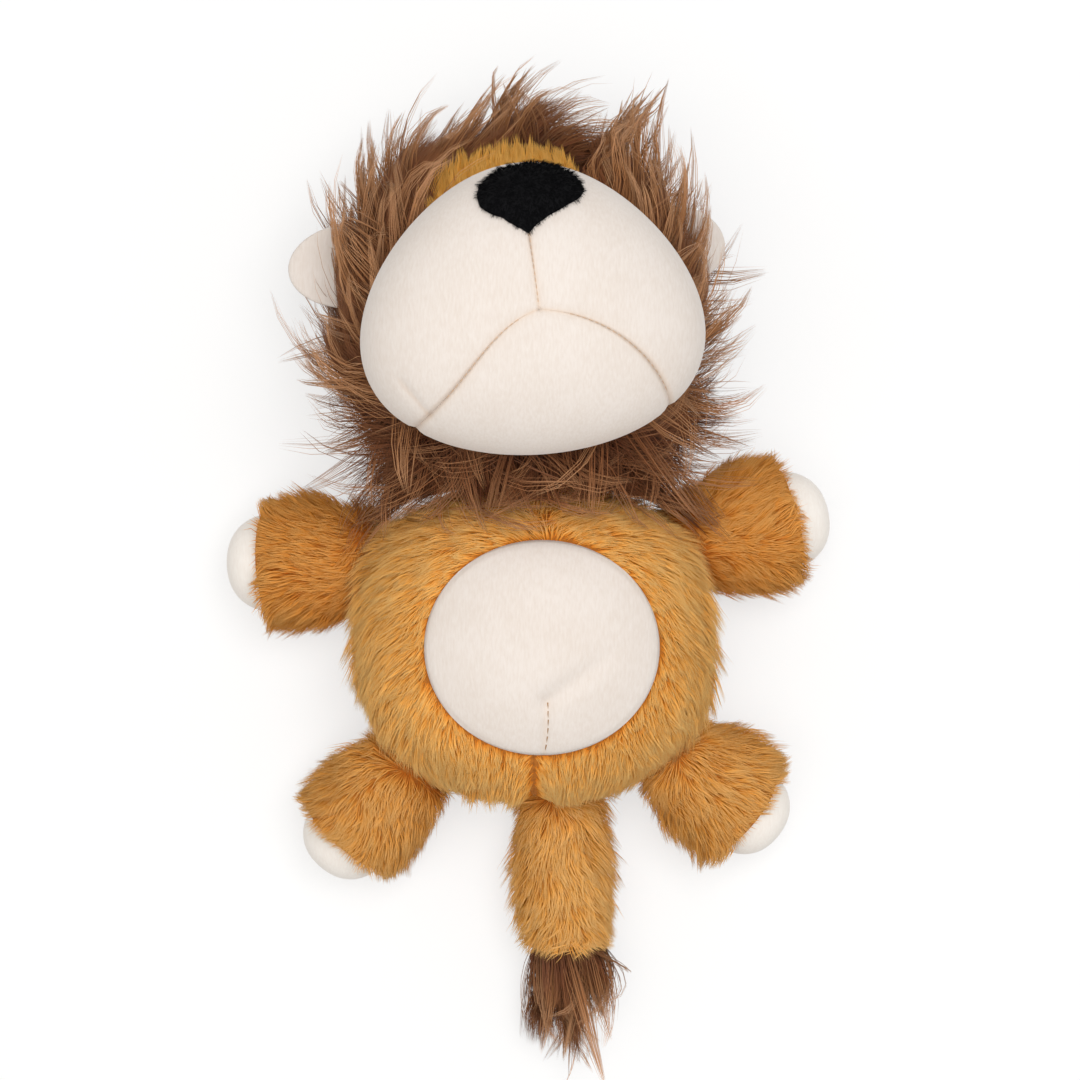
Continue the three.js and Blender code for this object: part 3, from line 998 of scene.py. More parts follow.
@dataclass(frozen=True)
class Strands:
    """Grown strands: their paths, which way is up along them, their widths and their shades."""

    paths: Array
    ups: Array
    widths: Array
    shades: Array
    softness: float

    def kept(self, marks: Array) -> "Strands":
        """Only the marked strands."""
        parts = (part[marks] for part in (self.paths, self.ups, self.widths, self.shades))
        return Strands(*parts, self.softness)

    def mesh(self, name: str) -> bpy.types.Object:
        """One closed three-sided strand for each path, which narrows to a point.

        Args:
            name: The piece's name.

        Returns:
            The piece.
        """
        count, points = self.paths.shape[:2]
        steps = points - 1
        tangents = unit(np.gradient(self.paths, axis=1))[:, :steps]
        sides = unit(np.cross(tangents, self.ups[:, :steps]))
        tops = np.cross(sides, tangents)
        taper = 1 - 0.7 * (np.arange(steps) / steps) ** 1.5
        half = (self.widths[:, None] * taper[None, :] / 2)[:, :, None]
        rings = self.paths[:, :steps]
        ring_points = np.stack([rings + sides * half, rings + tops * half, rings - sides * half], axis=2)
        each = 3 * steps + 1
        places = np.concatenate([ring_points.reshape(count, 3 * steps, 3), self.paths[:, -1:]], axis=1)
        loops, sizes = self.faces(steps)
        starts = np.concatenate([[0], np.cumsum(np.tile(sizes, count))[:-1]])
        corners = (np.arange(count)[:, None] * each + loops[None, :]).ravel()
        mesh = bpy.data.meshes.new(name)
        mesh.vertices.add(count * each)
        mesh.vertices.foreach_set("co", (places * MM).astype(np.float32).ravel())
        mesh.loops.add(len(corners))
        mesh.loops.foreach_set("vertex_index", corners.astype(np.int32))
        mesh.polygons.add(len(starts))
        mesh.polygons.foreach_set("loop_start", starts.astype(np.int32))
        mesh.update(calc_edges=True)
        along = np.concatenate([np.repeat(np.arange(steps) / steps, 3), [1.0]])
        colours = np.ones((count, each, 4), np.float32)
        colours[:, :, 0] = along
        colours[:, :, 1] = self.shades[:, :1]
        colours[:, :, 2] = self.shades[:, 1:]
        attribute = mesh.attributes.new("strand", "FLOAT_COLOR", "POINT")
        attribute.data.foreach_set("color", colours.ravel())
        own = np.stack([sides - tops / 3, tops, -sides - tops / 3], axis=2) * 0.55
        facing_up = smooth(-0.1, 0.5, self.ups[:, :, 2:])
        ways = own + (self.ups * facing_up * self.softness)[:, :steps, None]
        tips = tangents[:, -1:] * 0.3 + self.ups[:, -1:] * facing_up[:, -1:]
        ways = np.concatenate([ways.reshape(count, 3 * steps, 3), tips], axis=1)
        facing = mesh.attributes.new("custom_normal", "FLOAT_VECTOR", "POINT")
        facing.data.foreach_set("vector", unit(ways).astype(np.float32).ravel())
        piece = bpy.data.objects.new(name, mesh)
        bpy.context.scene.collection.objects.link(piece)
        return piece

    @staticmethod
    def faces(steps: int) -> tuple[Array, Array]:
        """The corners of one strand's faces in a row, and how many each face has.

        Args:
            steps: How many steps the strand has.

        Returns:
            The corners, and the faces' sizes.
        """
        loops: list[int] = []
        sizes: list[int] = []
        for ring in range(steps - 1):
            for corner in range(3):
                a, b = 3 * ring + corner, 3 * ring + (corner + 1) % 3
                loops += [a, a + 3, b + 3, b]
                sizes.append(4)
        last, tip = 3 * (steps - 1), 3 * steps
        for corner in range(3):
            loops += [last + corner, tip, last + (corner + 1) % 3]
            sizes.append(3)
        loops += [0, 1, 2]
        sizes.append(3)
        return np.array(loops), np.array(sizes)


PLUSH = Pile(
    length=8.8, width=0.32, steps=2, density=1.05, lift=34, fall=0.55, clump=2.6, pull=0.35, lock=9,
    lock_pull=0.08, wander=12, curl=14, softness=1.7,
)
UNDERCOAT = Pile(
    length=7.2, width=0.3, steps=1, density=2.8, lift=31, clump=2.4, pull=0.25, wander=16, curl=0, softness=1.7
)


def planted(name: str, surface: Surface, piles: Sequence[Pile], groom: Groom, seed: int) -> bpy.types.Object:
    """Grows one or more piles on a skin and joins them into one piece.

    Args:
        name: The piece's name.
        surface: The skin.
        piles: What grows on it.
        groom: How it is brushed and trimmed.
        seed: Which random draws the first pile takes.

    Returns:
        The piece.
    """
    layers = [pile.grow(surface, groom, seed + number).mesh(name) for number, pile in enumerate(piles)]
    bpy.ops.object.select_all(action="DESELECT")
    for layer in layers:
        layer.select_set(True)
    bpy.context.view_layer.objects.active = layers[0]
    if len(layers) > 1:
        bpy.ops.object.join()
    layers[0].name = name
    return layers[0]


def fill_with_fibre(node: str, body: str) -> None:
    """Fibre fill in the room of a stuffing node: its form, lumpy as teased fibre is.

    Args:
        node: The stuffing's node.
        body: The body that it moves with.
    """
    piece = copied(frame["nodes"][node], node + "_fibre")
    piece.parent = None
    piece.hide_render = False
    pick(piece)
    bpy.ops.object.mode_set(mode="EDIT")
    bpy.ops.mesh.select_all(action="SELECT")
    bpy.ops.mesh.remove_doubles(threshold=0.01 * MM)
    bpy.ops.object.mode_set(mode="OBJECT")
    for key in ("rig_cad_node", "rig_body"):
        if key in piece:
            del piece[key]
    modify(piece, "REMESH", mode="VOXEL", voxel_size=2.5 * MM)
    points = read_points(piece)
    lumps = 0.4 * ripple(points, 7, SEED) - 1.3
    write_points(piece, points + facings_of(piece) * lumps[:, None])
    dress(piece, FIBRE_FILL, body, [node])


@dataclass(frozen=True)
class Torso:
    """The torso: a back and two front panels of plush, a velour belly patch set into them, and the fill."""

    room: Egg = Egg(56, 41, 49, 50, 2.2, 2.8, (0, 0, 40.5))
    skin_depth: float = 5.5
    seam_height: float = 32.8
    wall: float = 1.2
    belly: tuple[float, float] = (2.4, 1.5)
    belly_half: tuple[float, float] = (34.5, 31.5)
    belly_depth: float = 3.2
    belly_swell: float = 2.4
    dart_top: tuple[float, float] = (4.0, -14.0)
    dart_foot: tuple[float, float] = (2.6, -32.0)
    dart_stitched: float = 0.85
    fold_end: tuple[float, float] = (26.0, 2.0)
    above: float = 130.0
    edge_share: float = 0.97
    seam_half: float = 0.7
    seat_radius: float = 11.5

    def belly_share(self, points: Array) -> Array:
        """How far each place is from the middle of the belly patch: 1 on its edge."""
        x, y = points[:, 0] - self.belly[0], points[:, 1] - self.belly[1]
        return np.hypot(x / self.belly_half[0], y / self.belly_half[1])

    def lies_on_patch(self, points: Array) -> Array:
        """Marks the places that the belly patch covers."""
        return (self.belly_share(points) < self.edge_share) & (points[:, 2] > self.room.centre[2])

    def skin(self) -> bpy.types.Object:
        """The whole skin, before it is cut into panels.

        Returns:
            The skin.
        """
        skin = add_ball("torso_skin", 112, 72)
        x, y, z = read_points(skin).T
        room = self.room.grown(-self.skin_depth)
        points = room.skin(np.stack([x, z, -y], axis=1))
        points += room.normals(points) * (0.7 * ripple(points, 45, SEED + 1))[:, None]
        write_points(skin, points)
        return skin

    def seam_gap(self, points: Array) -> Array:
        """How far each place is to the side of the seam below the patch, and far from all the others."""
        below = (points[:, 1] < self.belly[1]) & (points[:, 2] > self.room.centre[2] - 14)
        return np.where(below, points[:, 0], 99.0)

    def comb(self, points: Array) -> tuple[Array, Array]:
        """The pile lies down the body, leaning away from the belly patch and from the seam below it.

        Args:
            points: Places in the lion's frame.

        Returns:
            The way off the skin and the way that the pile lies.
        """
        share = self.belly_share(points)
        x = (points[:, 0] - self.belly[0]) / self.belly_half[0]
        y = (points[:, 1] - self.belly[1]) / self.belly_half[1]
        away = unit(np.stack([x, np.where(y > 0, -0.1 * y, y), 0 * x], axis=1))
        front = smooth(20, 50, points[:, 2])
        parted = 0.15 + 0.85 * smooth(1.04, 1.12, share) * smooth(2.2, 1.5, share)
        flow = away * (0.62 * front * parted)[:, None] + [0, -0.7, -0.1]
        gap = self.seam_gap(points)
        flow[:, 0] += 0.55 * np.sign(gap) * np.exp(-((gap / 5) ** 2)) + 0.28 * ripple(points, 40, SEED + 2)
        out = unit(np.stack([x / self.belly_half[0], y / self.belly_half[1], 0 * x], axis=1))
        inward = np.minimum(np.sum(flow * out, axis=1) - 0.1, 0) * smooth(1.4, 1.08, share) * front
        return self.room.normals(points), flow - out * inward[:, None]

    def cover(self, points: Array) -> Array:
        """No pile grows under the patch, in its seam, in a limb's seat or in the neck, and less on the back.

        Args:
            points: Places in the lion's frame.

        Returns:
            The cover's share at each place.
        """
        bare = (self.belly_share(points) < 1.0) & (points[:, 2] > self.room.centre[2])
        bare |= np.abs(self.seam_gap(points)) < self.seam_half
        for limb in LIMBS:
            bare |= np.linalg.norm(points - limb.pivot(), axis=1) < self.seat_radius
        return np.where(bare, 0, 0.36 + 0.64 * smooth(12, 30, points[:, 2]))

    def length(self, points: Array) -> Array:
        """The pile is trimmed round the patch and along the seam below it, and fuller on the flanks.

        Args:
            points: Places in the lion's frame.

        Returns:
            The length's share at each place.
        """
        front = points[:, 2] > self.room.centre[2]
        edge = 0.5 + 0.5 * smooth(1.02, 1.2, self.belly_share(points))
        seam = 0.5 + 0.5 * smooth(0.5, 5, np.abs(self.seam_gap(points)))
        return np.where(front, edge, 1) * seam * (1 + 0.3 * smooth(38, 50, np.abs(points[:, 0])))

    def lift(self, points: Array) -> Array:
        """The pile stands up higher on the shoulders."""
        return 1 + 0.6 * smooth(22, 38, points[:, 1])

    def pile(self, name: str, skin: bpy.types.Object, seed: int) -> None:
        """Plants the plush of one panel.

        Args:
            name: The pile's name.
            skin: The panel.
            seed: Which random draws it takes.
        """
        groom = Groom(self.comb, self.cover, self.length, self.lift)
        piece = planted(name, Surface.of(skin), [PLUSH, UNDERCOAT], groom, seed)
        # The torso's pile takes the brightened copy of the ochre pile, which is painted light.
        dress(piece, TORSO_LIT_PILE, "torso")

    def patch(self) -> None:
        """The belly patch: a velour disc plumped from inside, with a dart and a fold at its foot."""
        patch = add_disc("belly_velour", 72)
        share = read_points(patch)
        radius = np.linalg.norm(share[:, :2], axis=1)
        x = self.belly[0] + self.belly_half[0] * share[:, 0]
        y = self.belly[1] + self.belly_half[1] * share[:, 1]
        room = self.room.grown(-self.belly_depth)
        reach = np.where(y < 0, room.low, room.high)
        squareness = np.where(y < 0, room.low_squareness, room.high_squareness)
        round_share = (1 - np.abs(y / reach) ** squareness) ** (2 / squareness) - (x / room.width) ** 2
        z = room.centre[2] + room.depth * np.sqrt(round_share)
        write_points(patch, np.stack([x, y, z + self.belly_swell * (1 - radius**2.5)], axis=1))
        inflate(patch, np.where(radius > self.edge_share, 1.0, 0.0), pressure=1.5, cap=2.0)
        points = read_points(patch)
        dart = near_line(points, self.dart_top, self.dart_foot)
        fold = near_line(points, self.dart_top, self.fold_end)
        valley = 0.9 * np.exp(-((dart / 1.3) ** 2)) + 0.6 * np.exp(-((dart / 6) ** 2))
        from_top = np.hypot(*(points[:, :2] - self.dart_top).T)
        valley += 1.5 * np.exp(-((fold / 3) ** 2)) * smooth(32, 5, from_top)
        valley += 0.8 * smooth(0.95, 1.0, radius)
        points[:, 2] -= valley
        write_points(patch, points)
        mark_seam(patch, 0.15 * np.exp(-((dart / 0.7) ** 2)))
        steps = np.linspace(0, self.dart_stitched, 12)[:, None]
        top, foot = (np.array([*end, self.above]) for end in (self.dart_top, self.dart_foot))
        line = top * (1 - steps) + foot * steps
        line[:, 0] += 0.8 * np.sin(steps[:, 0] * math.pi)
        dress(stitched("belly_dart_thread", patch, line, (0, 0, -1.0), 2.0, 0.4), DART_THREAD, "torso")
        thicken(patch, 2.0)
        dress(patch, VELOUR, "torso", ["belly_patch"])

    def build(self) -> None:
        """Sews the torso."""
        skin = self.skin()
        sides = (("torso_plush_left", 1, "torso_front_left"), ("torso_plush_right", -1, "torso_front_right"))
        for seed, (name, way, node) in enumerate(sides):
            front = copied(skin, name)
            trim(front, (0, 0, self.seam_height), (0, 0, -1))
            trim(front, (0, 0, 0), (way, 0, 0))
            drop_faces(front, self.lies_on_patch(face_middles(front)))
            self.pile(name.replace("plush", "pile"), front, 10 + seed)
            thicken(front, self.wall)
            dress(front, PLUSH_BACKING, "torso", [node])
        trim(skin, (0, 0, self.seam_height), (0, 0, 1))
        skin.name = "torso_plush_back"
        self.pile("torso_pile_back", skin, 12)
        thicken(skin, self.wall)
        dress(skin, PLUSH_BACKING, "torso", ["torso_back"])
        self.neck()
        self.patch()
        fill_with_fibre("torso_stuffing", "torso")

    def neck(self) -> None:
        """The neck: a short plush tube, left out of every body."""
        outline = np.array([[-9, 18.0], [-4, 18.6], [1, 18.8], [6, 18.6], [11, 18.0]])
        tube = spin_outline("neck_plush", outline, 48)
        place = Place.made(NECK, (90, "Z"))
        write_points(tube, place.out(read_points(tube)))

        def comb(points: Array) -> tuple[Array, Array]:
            """The pile lies down the neck."""
            return unit((points - NECK) * [1, 0, 1]), np.tile([0, -1.0, 0], (len(points), 1))

        groom = Groom(comb, lambda points: np.full(len(points), 0.4))
        pile = planted("neck_pile", Surface.of(tube), [PLUSH, UNDERCOAT], groom, 14)
        thicken(tube, self.wall)
        for piece, finish in ((pile, PLUSH_PILE), (tube, PLUSH_BACKING)):
            piece.data.materials.append(material_of(finish))
            piece.data.shade_smooth()
            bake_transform(piece)


def near_line(points: Array, start: Sequence[float], end: Sequence[float]) -> Array:
    """How far each place is from a straight line between two points, seen from above.

    Args:
        points: The places.
        start: Where the line starts.
        end: Where it ends.

    Returns:
        One distance for each place.
    """
    a, b = np.array(start, float), np.array(end, float)
    share = np.clip((points[:, :2] - a) @ (b - a) / ((b - a) @ (b - a)), 0, 1)
    return np.linalg.norm(points[:, :2] - a - share[:, None] * (b - a), axis=1)


def landed(skin: bpy.types.Object, starts: Array, way: Sequence[float]) -> tuple[Array, Array]:
    """Where lines from some places in one direction meet a skin, and the skin's facings there.

    Args:
        skin: The skin.
        starts: Where the lines start, in millimetres.
        way: Their direction.

    Returns:
        The places on the skin and the facings.
    """
    mesh = skin.data
    tree = BVHTree.FromPolygons([v.co for v in mesh.vertices], [tuple(p.vertices) for p in mesh.polygons])
    hits = [tree.ray_cast(Vector(start), Vector(way))[:2] for start in starts * MM]
    return np.array([hit for hit, _ in hits]) / MM, np.array([facing for _, facing in hits])


def stitched(
    name: str,
    skin: bpy.types.Object,
    line: Array,
    way: Sequence[float],
    stitch: float = 1.5,
    width: float = 0.28,
) -> bpy.types.Object:
    """Small stitches along a line that is laid on a skin.

    Args:
        name: The thread's name.
        skin: What is sewn.
        line: The seam's course, from where it drops on the skin.
        way: The direction in which it drops.
        stitch: A stitch's length.
        width: The thread's width.

    Returns:
        The thread.
    """
    along = np.concatenate([[0], np.cumsum(np.linalg.norm(np.diff(line, axis=0), axis=1))])
    starts = np.arange(0.3, along[-1] - stitch, 1.25 * stitch)
    marks = starts[:, None] + np.array([0, 0.5, 1.0]) * stitch
    flat = np.stack([np.interp(marks.ravel(), along, line[:, axis]) for axis in range(3)], axis=1)
    points, facings = landed(skin, flat, way)
    lifts = np.tile([0.02, 0.14, 0.02], len(starts))[:, None]
    paths, ups = (points + facings * lifts).reshape(-1, 3, 3), facings.reshape(-1, 3, 3)
    count = len(starts)
    return Strands(paths, ups, np.full(count, width), np.full((count, 2), 0.5), 1.0).mesh(name)


def mark_seam(piece: bpy.types.Object, depth: Array) -> None:
    """Writes how deep in a seam each vertex lies, for the velour's dye."""
    attribute = piece.data.attributes.new("seam", "FLOAT", "POINT")
    attribute.data.foreach_set("value", np.clip(depth, 0, 1).astype(np.float32))


@dataclass(frozen=True)
class Limb:
    """A stubby limb: a plush sleeve sewn on by its round root, and a velour end stuffed into its mouth."""

    name: str
    joint: str
    aim: float
    end: str
    droop: float = 8.0
    root_radius: float = 17.5
    sleeve_radius: float = 22.0
    mouth_radius: float = 20.5
    sleeve_length: float = 27.0
    end_reach: float = 38.5
    tuck: float = 5.0
    lip_bare: float = 1.8
    skin_depth: float = 4.6
    buried_depth: float = 7.0
    # By default a limb takes the legs' darker copy of the ochre pile, which is painted shade.
    finish: PileFinish = LEG_SHADED_PILE
    seed: int = 30

    def pivot(self) -> Array:
        """The joint's point in the lion's frame."""
        return joint_point(self.joint)

    def place(self) -> Place:
        """The limb's frame, with +X out of the body."""
        return Place.made(self.pivot(), (self.aim, "Z"), (self.droop, "Y"))

    def outline(self) -> Array:
        """The sleeve's outline in distance out and radius: its round root, its swell and its lip turned in.

        Returns:
            The outline's points from root to lip.
        """
        root, full, mouth = (
            r - self.skin_depth for r in (self.root_radius, self.sleeve_radius, self.mouth_radius)
        )
        turn = np.linspace(-math.pi / 2, 0, 9)[:-1]
        back = np.stack([root * np.sin(turn), root * np.cos(turn)], axis=1)
        share = np.linspace(0, 1, 15)
        bulge = full - (root + mouth) / 2
        side = root + (mouth - root) * share + bulge * np.sin(math.pi * share)
        wall = np.stack([share * (self.sleeve_length - 1), side], axis=1)
        lip = np.array([[self.sleeve_length, mouth - 1.5], [self.sleeve_length - 0.5, mouth - 3.0]])
        return np.concatenate([back, wall, lip])

    def sleeve(self) -> None:
        """The sleeve's skin and its plush."""
        place = self.place()
        skin = spin_outline(self.name + "_plush", self.outline(), 64)
        local = read_points(skin)
        away = unit(local * [0, 1, 1])
        local += away * (0.6 * ripple(local, 26, SEED + self.seed))[:, None]
        points = place.out(local)
        points[:, 2] = np.maximum(points[:, 2], 3 * FLOOR_CLEARANCE)
        write_points(skin, points)
        buried = Torso().room.grown(-self.buried_depth)

        def cover(at: Array) -> Array:
            """No pile grows inside the torso or on the lip, and less underneath."""
            bare = (buried.level(at) < 1) | (place.into(at)[:, 0] > self.sleeve_length - self.lip_bare)
            return np.where(bare, 0, 0.5 + 0.5 * smooth(5, 16, at[:, 2]))

        def at_mouth(at: Array) -> Array:
            """0 over most of the sleeve, and 1 at its mouth."""
            return smooth(self.sleeve_length - 11, self.sleeve_length - 1, place.into(at)[:, 0])

        def comb(at: Array) -> tuple[Array, Array]:
            """The pile lies out along the limb.

            Args:
                at: Places in the lion's frame.

            Returns:
                The way off the skin and the way that the pile lies.
            """
            own = place.into(at)
            out = unit(own * [0, 1, 1])
            ahead = 1 - 1.6 * smooth(4, -12, own[:, 0]) - 0.95 * at_mouth(at)
            flow = np.stack([ahead, 0.4 * ripple(at, 22, SEED + 5), -0.15 + 0 * ahead], axis=1)
            return place.out_way(out), place.out_way(flow)

        groom = Groom(comb, cover, lambda at: 1.0 - 0.32 * at_mouth(at), lambda at: 1.4 + 0.75 * at_mouth(at))
        pile = planted(self.name + "_pile", Surface.of(skin), [PLUSH, UNDERCOAT], groom, self.seed)
        dress(pile, self.finish, self.name)
        thicken(skin, 1.0)
        dress(skin, PLUSH_BACKING, self.name, [self.name + "_sleeve"])

    def paw(self) -> None:
        """The velour end, a dome that stands out of the sleeve's mouth."""
        place = self.place()
        node = f"{self.name}_{self.end}"
        dome = add_ball(node + "_velour", 56, 40)
        x, y, z = read_points(dome).T
        radius = self.mouth_radius - self.tuck - 0.3
        start = self.sleeve_length - self.tuck
        reach = self.end_reach - start
        front = z > 0
        power = np.where(front, 2 / 2.4, 1.0)
        across = np.hypot(x, y) ** power * radius
        turn = np.arctan2(y, x)
        out = np.where(front, start + reach * np.abs(z) ** power, start + 0.45 * reach * z)
        local = np.stack([out, across * np.cos(turn), across * np.sin(turn)], axis=1)
        write_points(dome, place.out(local))
        inflate(dome, np.where(local[:, 0] < self.sleeve_length - 1, 1.0, 0.0), pressure=2.0, cap=1.2)
        points = read_points(dome)
        points[:, 2] = np.maximum(points[:, 2], FLOOR_CLEARANCE)
        write_points(dome, points)
        mark_seam(dome, 0 * points[:, 0])
        # The velour end takes the brightened copy of the cream velour, which is painted light.
        dress(dome, END_LIT_VELOUR, self.name, [node])

    def build(self) -> None:
        """Sews the limb."""
        self.sleeve()
        self.paw()
        fill_with_fibre(self.name + "_stuffing", self.name)


LEG = {
    "root_radius": 17.0, "sleeve_radius": 21.0, "mouth_radius": 19.5, "sleeve_length": 26.0, "end_reach": 37.0
}


@dataclass(frozen=True)
class Tail(Limb):
    """The tail: a plush sleeve whose mouth holds a tuft of the mane's hair."""

    droop: float = 4.0
    root_radius: float = 15.0
    sleeve_radius: float = 17.5
    mouth_radius: float = 14.0
    sleeve_length: float = 42.0
    end_reach: float = 76.0
    finish: PileFinish = PLUSH_PILE
    tuft: Pile = Pile(
        length=31, width=0.32, steps=4, density=7.4, lift=27, fall=0.8, spread=0.3, clump=1.3, pull=0.55,
        lock=3.2, lock_pull=0.45, sway=12, curl=28, wander=10, weight=0.1, softness=0.35,
    )
    locks: Pile = Pile(
        length=41, width=0.3, steps=6, density=2.4, lift=30, fall=0.9, spread=0.25, clump=2.2, pull=0.9,
        sway=16, curl=38, wander=6, weight=0.1, softness=0.35,
    )

    def tassel(self) -> None:
        """The tuft's cloth, its hair and the paler locks over it."""
        place = self.place()
        knob = add_ball("tail_knob", 32, 20)
        local = read_points(knob) * [5.0, 8.5, 8.0] + [self.sleeve_length - 2.5, 0, 0]
        write_points(knob, place.out(local))

        def comb(at: Array) -> tuple[Array, Array]:
            """The hair lies out of the tail and draws together again.

            Args:
                at: Places in the lion's frame.

            Returns:
                The way off the cloth and the way that the hair lies.
            """
            own = place.into(at)
            inward = own * [0, -0.03, -0.03] * smooth(0, 22, own[:, 0] - self.sleeve_length)[:, None]
            return place.out_way(unit(own * [0, 1, 1])), place.out_way(inward + [1.0, 0, 0])

        def length(at: Array) -> Array:
            """The hair is longest in the middle of the tuft."""
            return 1.0 - 0.3 * smooth(2, 8.5, np.linalg.norm(place.into(at)[:, 1:], axis=1))

        groom = Groom(comb, lambda at: 1.0 * (place.into(at)[:, 0] > self.sleeve_length - 3), length)
        hair = planted("tail_hair", Surface.of(knob), [self.tuft], groom, 60)
        dress(hair, MANE_HAIR, "tail", ["tail_tuft"])
        dress(planted("tail_locks", Surface.of(knob), [self.locks], groom, 62), MANE_LOCKS, "tail")
        dress(knob, MANE_BACKING, "tail")

    def build(self) -> None:
        """Sews the tail."""
        self.sleeve()
        self.tassel()
        fill_with_fibre("tail_stuffing", "tail")


LIMBS: tuple[Limb, ...] = (
    # The arms take the darker copy of the ochre pile, which is painted shade.
    Limb("arm_left", "arm_left_swing", 182, "paw", finish=ARM_SHADED_PILE, seed=31),
    Limb("arm_right", "arm_right_swing", 12, "paw", finish=ARM_SHADED_PILE, seed=34),
    Limb("leg_left", "leg_left_swing", 230, "foot", seed=37, **LEG),
    Limb("leg_right", "leg_right_swing", -38, "foot", seed=40, **LEG),
    Tail("tail", "tail_swing", -87, "tuft", seed=43),
)

HEAD = Place.made((-5.5, 101.0, 49.5), (4, "Z"), (6, "Y"))


@dataclass(frozen=True)
class Muzzle:
    """The muzzle: a big velour bun in three panels that meet at the corner of the mouth."""

    half_width: float = 49.0
    half_height: float = 42.3
    front: float = 30.0
    back: float = 8.0
    squareness: float = 2.2
    taper: float = 0.22
    drop: float = 2.0
    height: float = 44.0
    mouth: tuple[float, float] = (-0.8, -4.0)
    skin_depth: float = 0.4
    seams: tuple[float, float, float] = (93.0, 221.0, 323.0)
    bends: tuple[float, float, float] = (0.0, -27.0, 31.0)
    falls: tuple[float, float, float] = (1.0, 2.6, 1.0)
    threads: tuple[tuple[int, int], ...] = ((1, 14), (3, 20), (4, 23))
    dart_top: tuple[float, float] = (-40.0, -21.5)
    dart_foot: tuple[float, float] = (-32.5, -32.0)
    nose_foot: float = 21.5
    spokes: int = 156
    rings: int = 104

    def share_at(self, x: Array, y: Array) -> Array:
        """How far out each place is on the bun, seen from the front: 1 on its rim.

        Args:
            x: Places across the head.
            y: Places up the head.

        Returns:
            One share for each place.
        """
        own_y = y + self.drop
        own_x = x / (1 - self.taper * own_y / self.half_height)
        width, height = self.half_width - self.skin_depth, self.half_height - self.skin_depth
        return np.hypot(own_x / width, own_y / height)

    def rim(self, turns: Array) -> Array:
        """How far the rim is from the corner of the mouth in each direction.

        Args:
            turns: The directions in radians.

        Returns:
            One distance for each direction.
        """
        inside, outside = np.zeros_like(turns), np.full_like(turns, 2 * self.half_width)
        for _ in range(40):
            middle = (inside + outside) / 2
            x, y = self.mouth[0] + middle * np.cos(turns), self.mouth[1] + middle * np.sin(turns)
            over = self.share_at(x, y) > 1
            inside, outside = np.where(over, inside, middle), np.where(over, middle, outside)
        return inside

    def spoke_turns(self, spoke: Array, reach: Array) -> Array:
        """The direction of each spoke, which are shared out so that seams lie on spokes and bend with them.

        Args:
            spoke: The spokes' numbers.
            reach: How far out along them, from 0 to 1.

        Returns:
            Directions in radians.
        """
        per_panel = self.spokes // 3
        panel = (spoke // per_panel).astype(int) % 3
        share = (spoke % per_panel) / per_panel
        starts, bends = np.array(self.seams), np.array(self.bends)
        ends = np.array([*starts[1:], starts[0] + 360])
        falls, after = np.array(self.falls), (panel + 1) % 3
        inner = np.clip(1 - reach, 0, 1)
        start = starts[panel] + bends[panel] * inner ** falls[panel]
        end = ends[panel] + bends[after] * inner ** falls[after]
        return np.radians(start + (end - start) * share)

    def shaped(self) -> tuple[bpy.types.Object, Array, Array]:
        """The bun's skin in the head's frame.

        Returns:
            The skin, and for each vertex its spoke's number and how far out along it the vertex lies.
        """
        bun = add_ball("muzzle_skin", self.spokes, self.rings)
        x, y, z = read_points(bun).T
        spoke = np.round(np.arctan2(y, x) / math.tau * self.spokes) % self.spokes
        reach = np.hypot(x, y)
        reach = np.where(reach < 1e-6, 0, reach)
        turns = self.spoke_turns(spoke, reach)
        distance = reach * self.rim(turns)
        px, py = self.mouth[0] + distance * np.cos(turns), self.mouth[1] + distance * np.sin(turns)
        share = np.clip(self.share_at(px, py), 0, 1)
        front = (1 - share**self.squareness) ** (1 / self.squareness) * (self.front - self.skin_depth)
        back = -np.sqrt(1 - share**2) * self.back
        pz = self.height + np.where(z >= 0, front, back)
        write_points(bun, np.stack([px, py, pz], axis=1))
        return bun, spoke, np.where(z >= 0, reach, 2 - reach)

    def seam_lines(self) -> list[Array]:
        """The courses of the three seams out from the corner of the mouth, seen from the front.

        Returns:
            Three rows of points.
        """
        lines = []
        steps = np.linspace(0, 1, 25)
        for turn, bend, fall in zip(self.seams, self.bends, self.falls):
            angles = np.radians(turn + bend * (1 - steps) ** fall)
            reach = (steps * self.rim(angles))[:, None]
            lines.append(np.array(self.mouth) + reach * np.stack([np.cos(angles), np.sin(angles)], 1))
        return lines

    def seam_distance(self, points: Array) -> Array:
        """How far each place in the head's frame is from the nearest of the three seams, seen from the front.

        Args:
            points: The places.

        Returns:
            One distance for each place.
        """
        nearest = np.full(len(points), 1e3)
        for line in self.seam_lines():
            for a, b in zip(line[:-1], line[1:]):
                nearest = np.minimum(nearest, near_line(points, a, b))
        return nearest

    def sew(self, bun: bpy.types.Object) -> None:
        """The thread that shows in the seams.

        Args:
            bun: The muzzle's skin.
        """
        back = HEAD.out_way(np.array([[0, 0, -1.0]]))[0]
        for word, line, part in zip(("top", "left", "right"), self.seam_lines(), self.threads):
            line = line[slice(*part)]
            course = HEAD.out(np.column_stack([line, np.full(len(line), ABOVE_HEAD)]))
            dress(stitched(f"muzzle_thread_{word}", bun, course, back), SEAM_THREAD, "head")

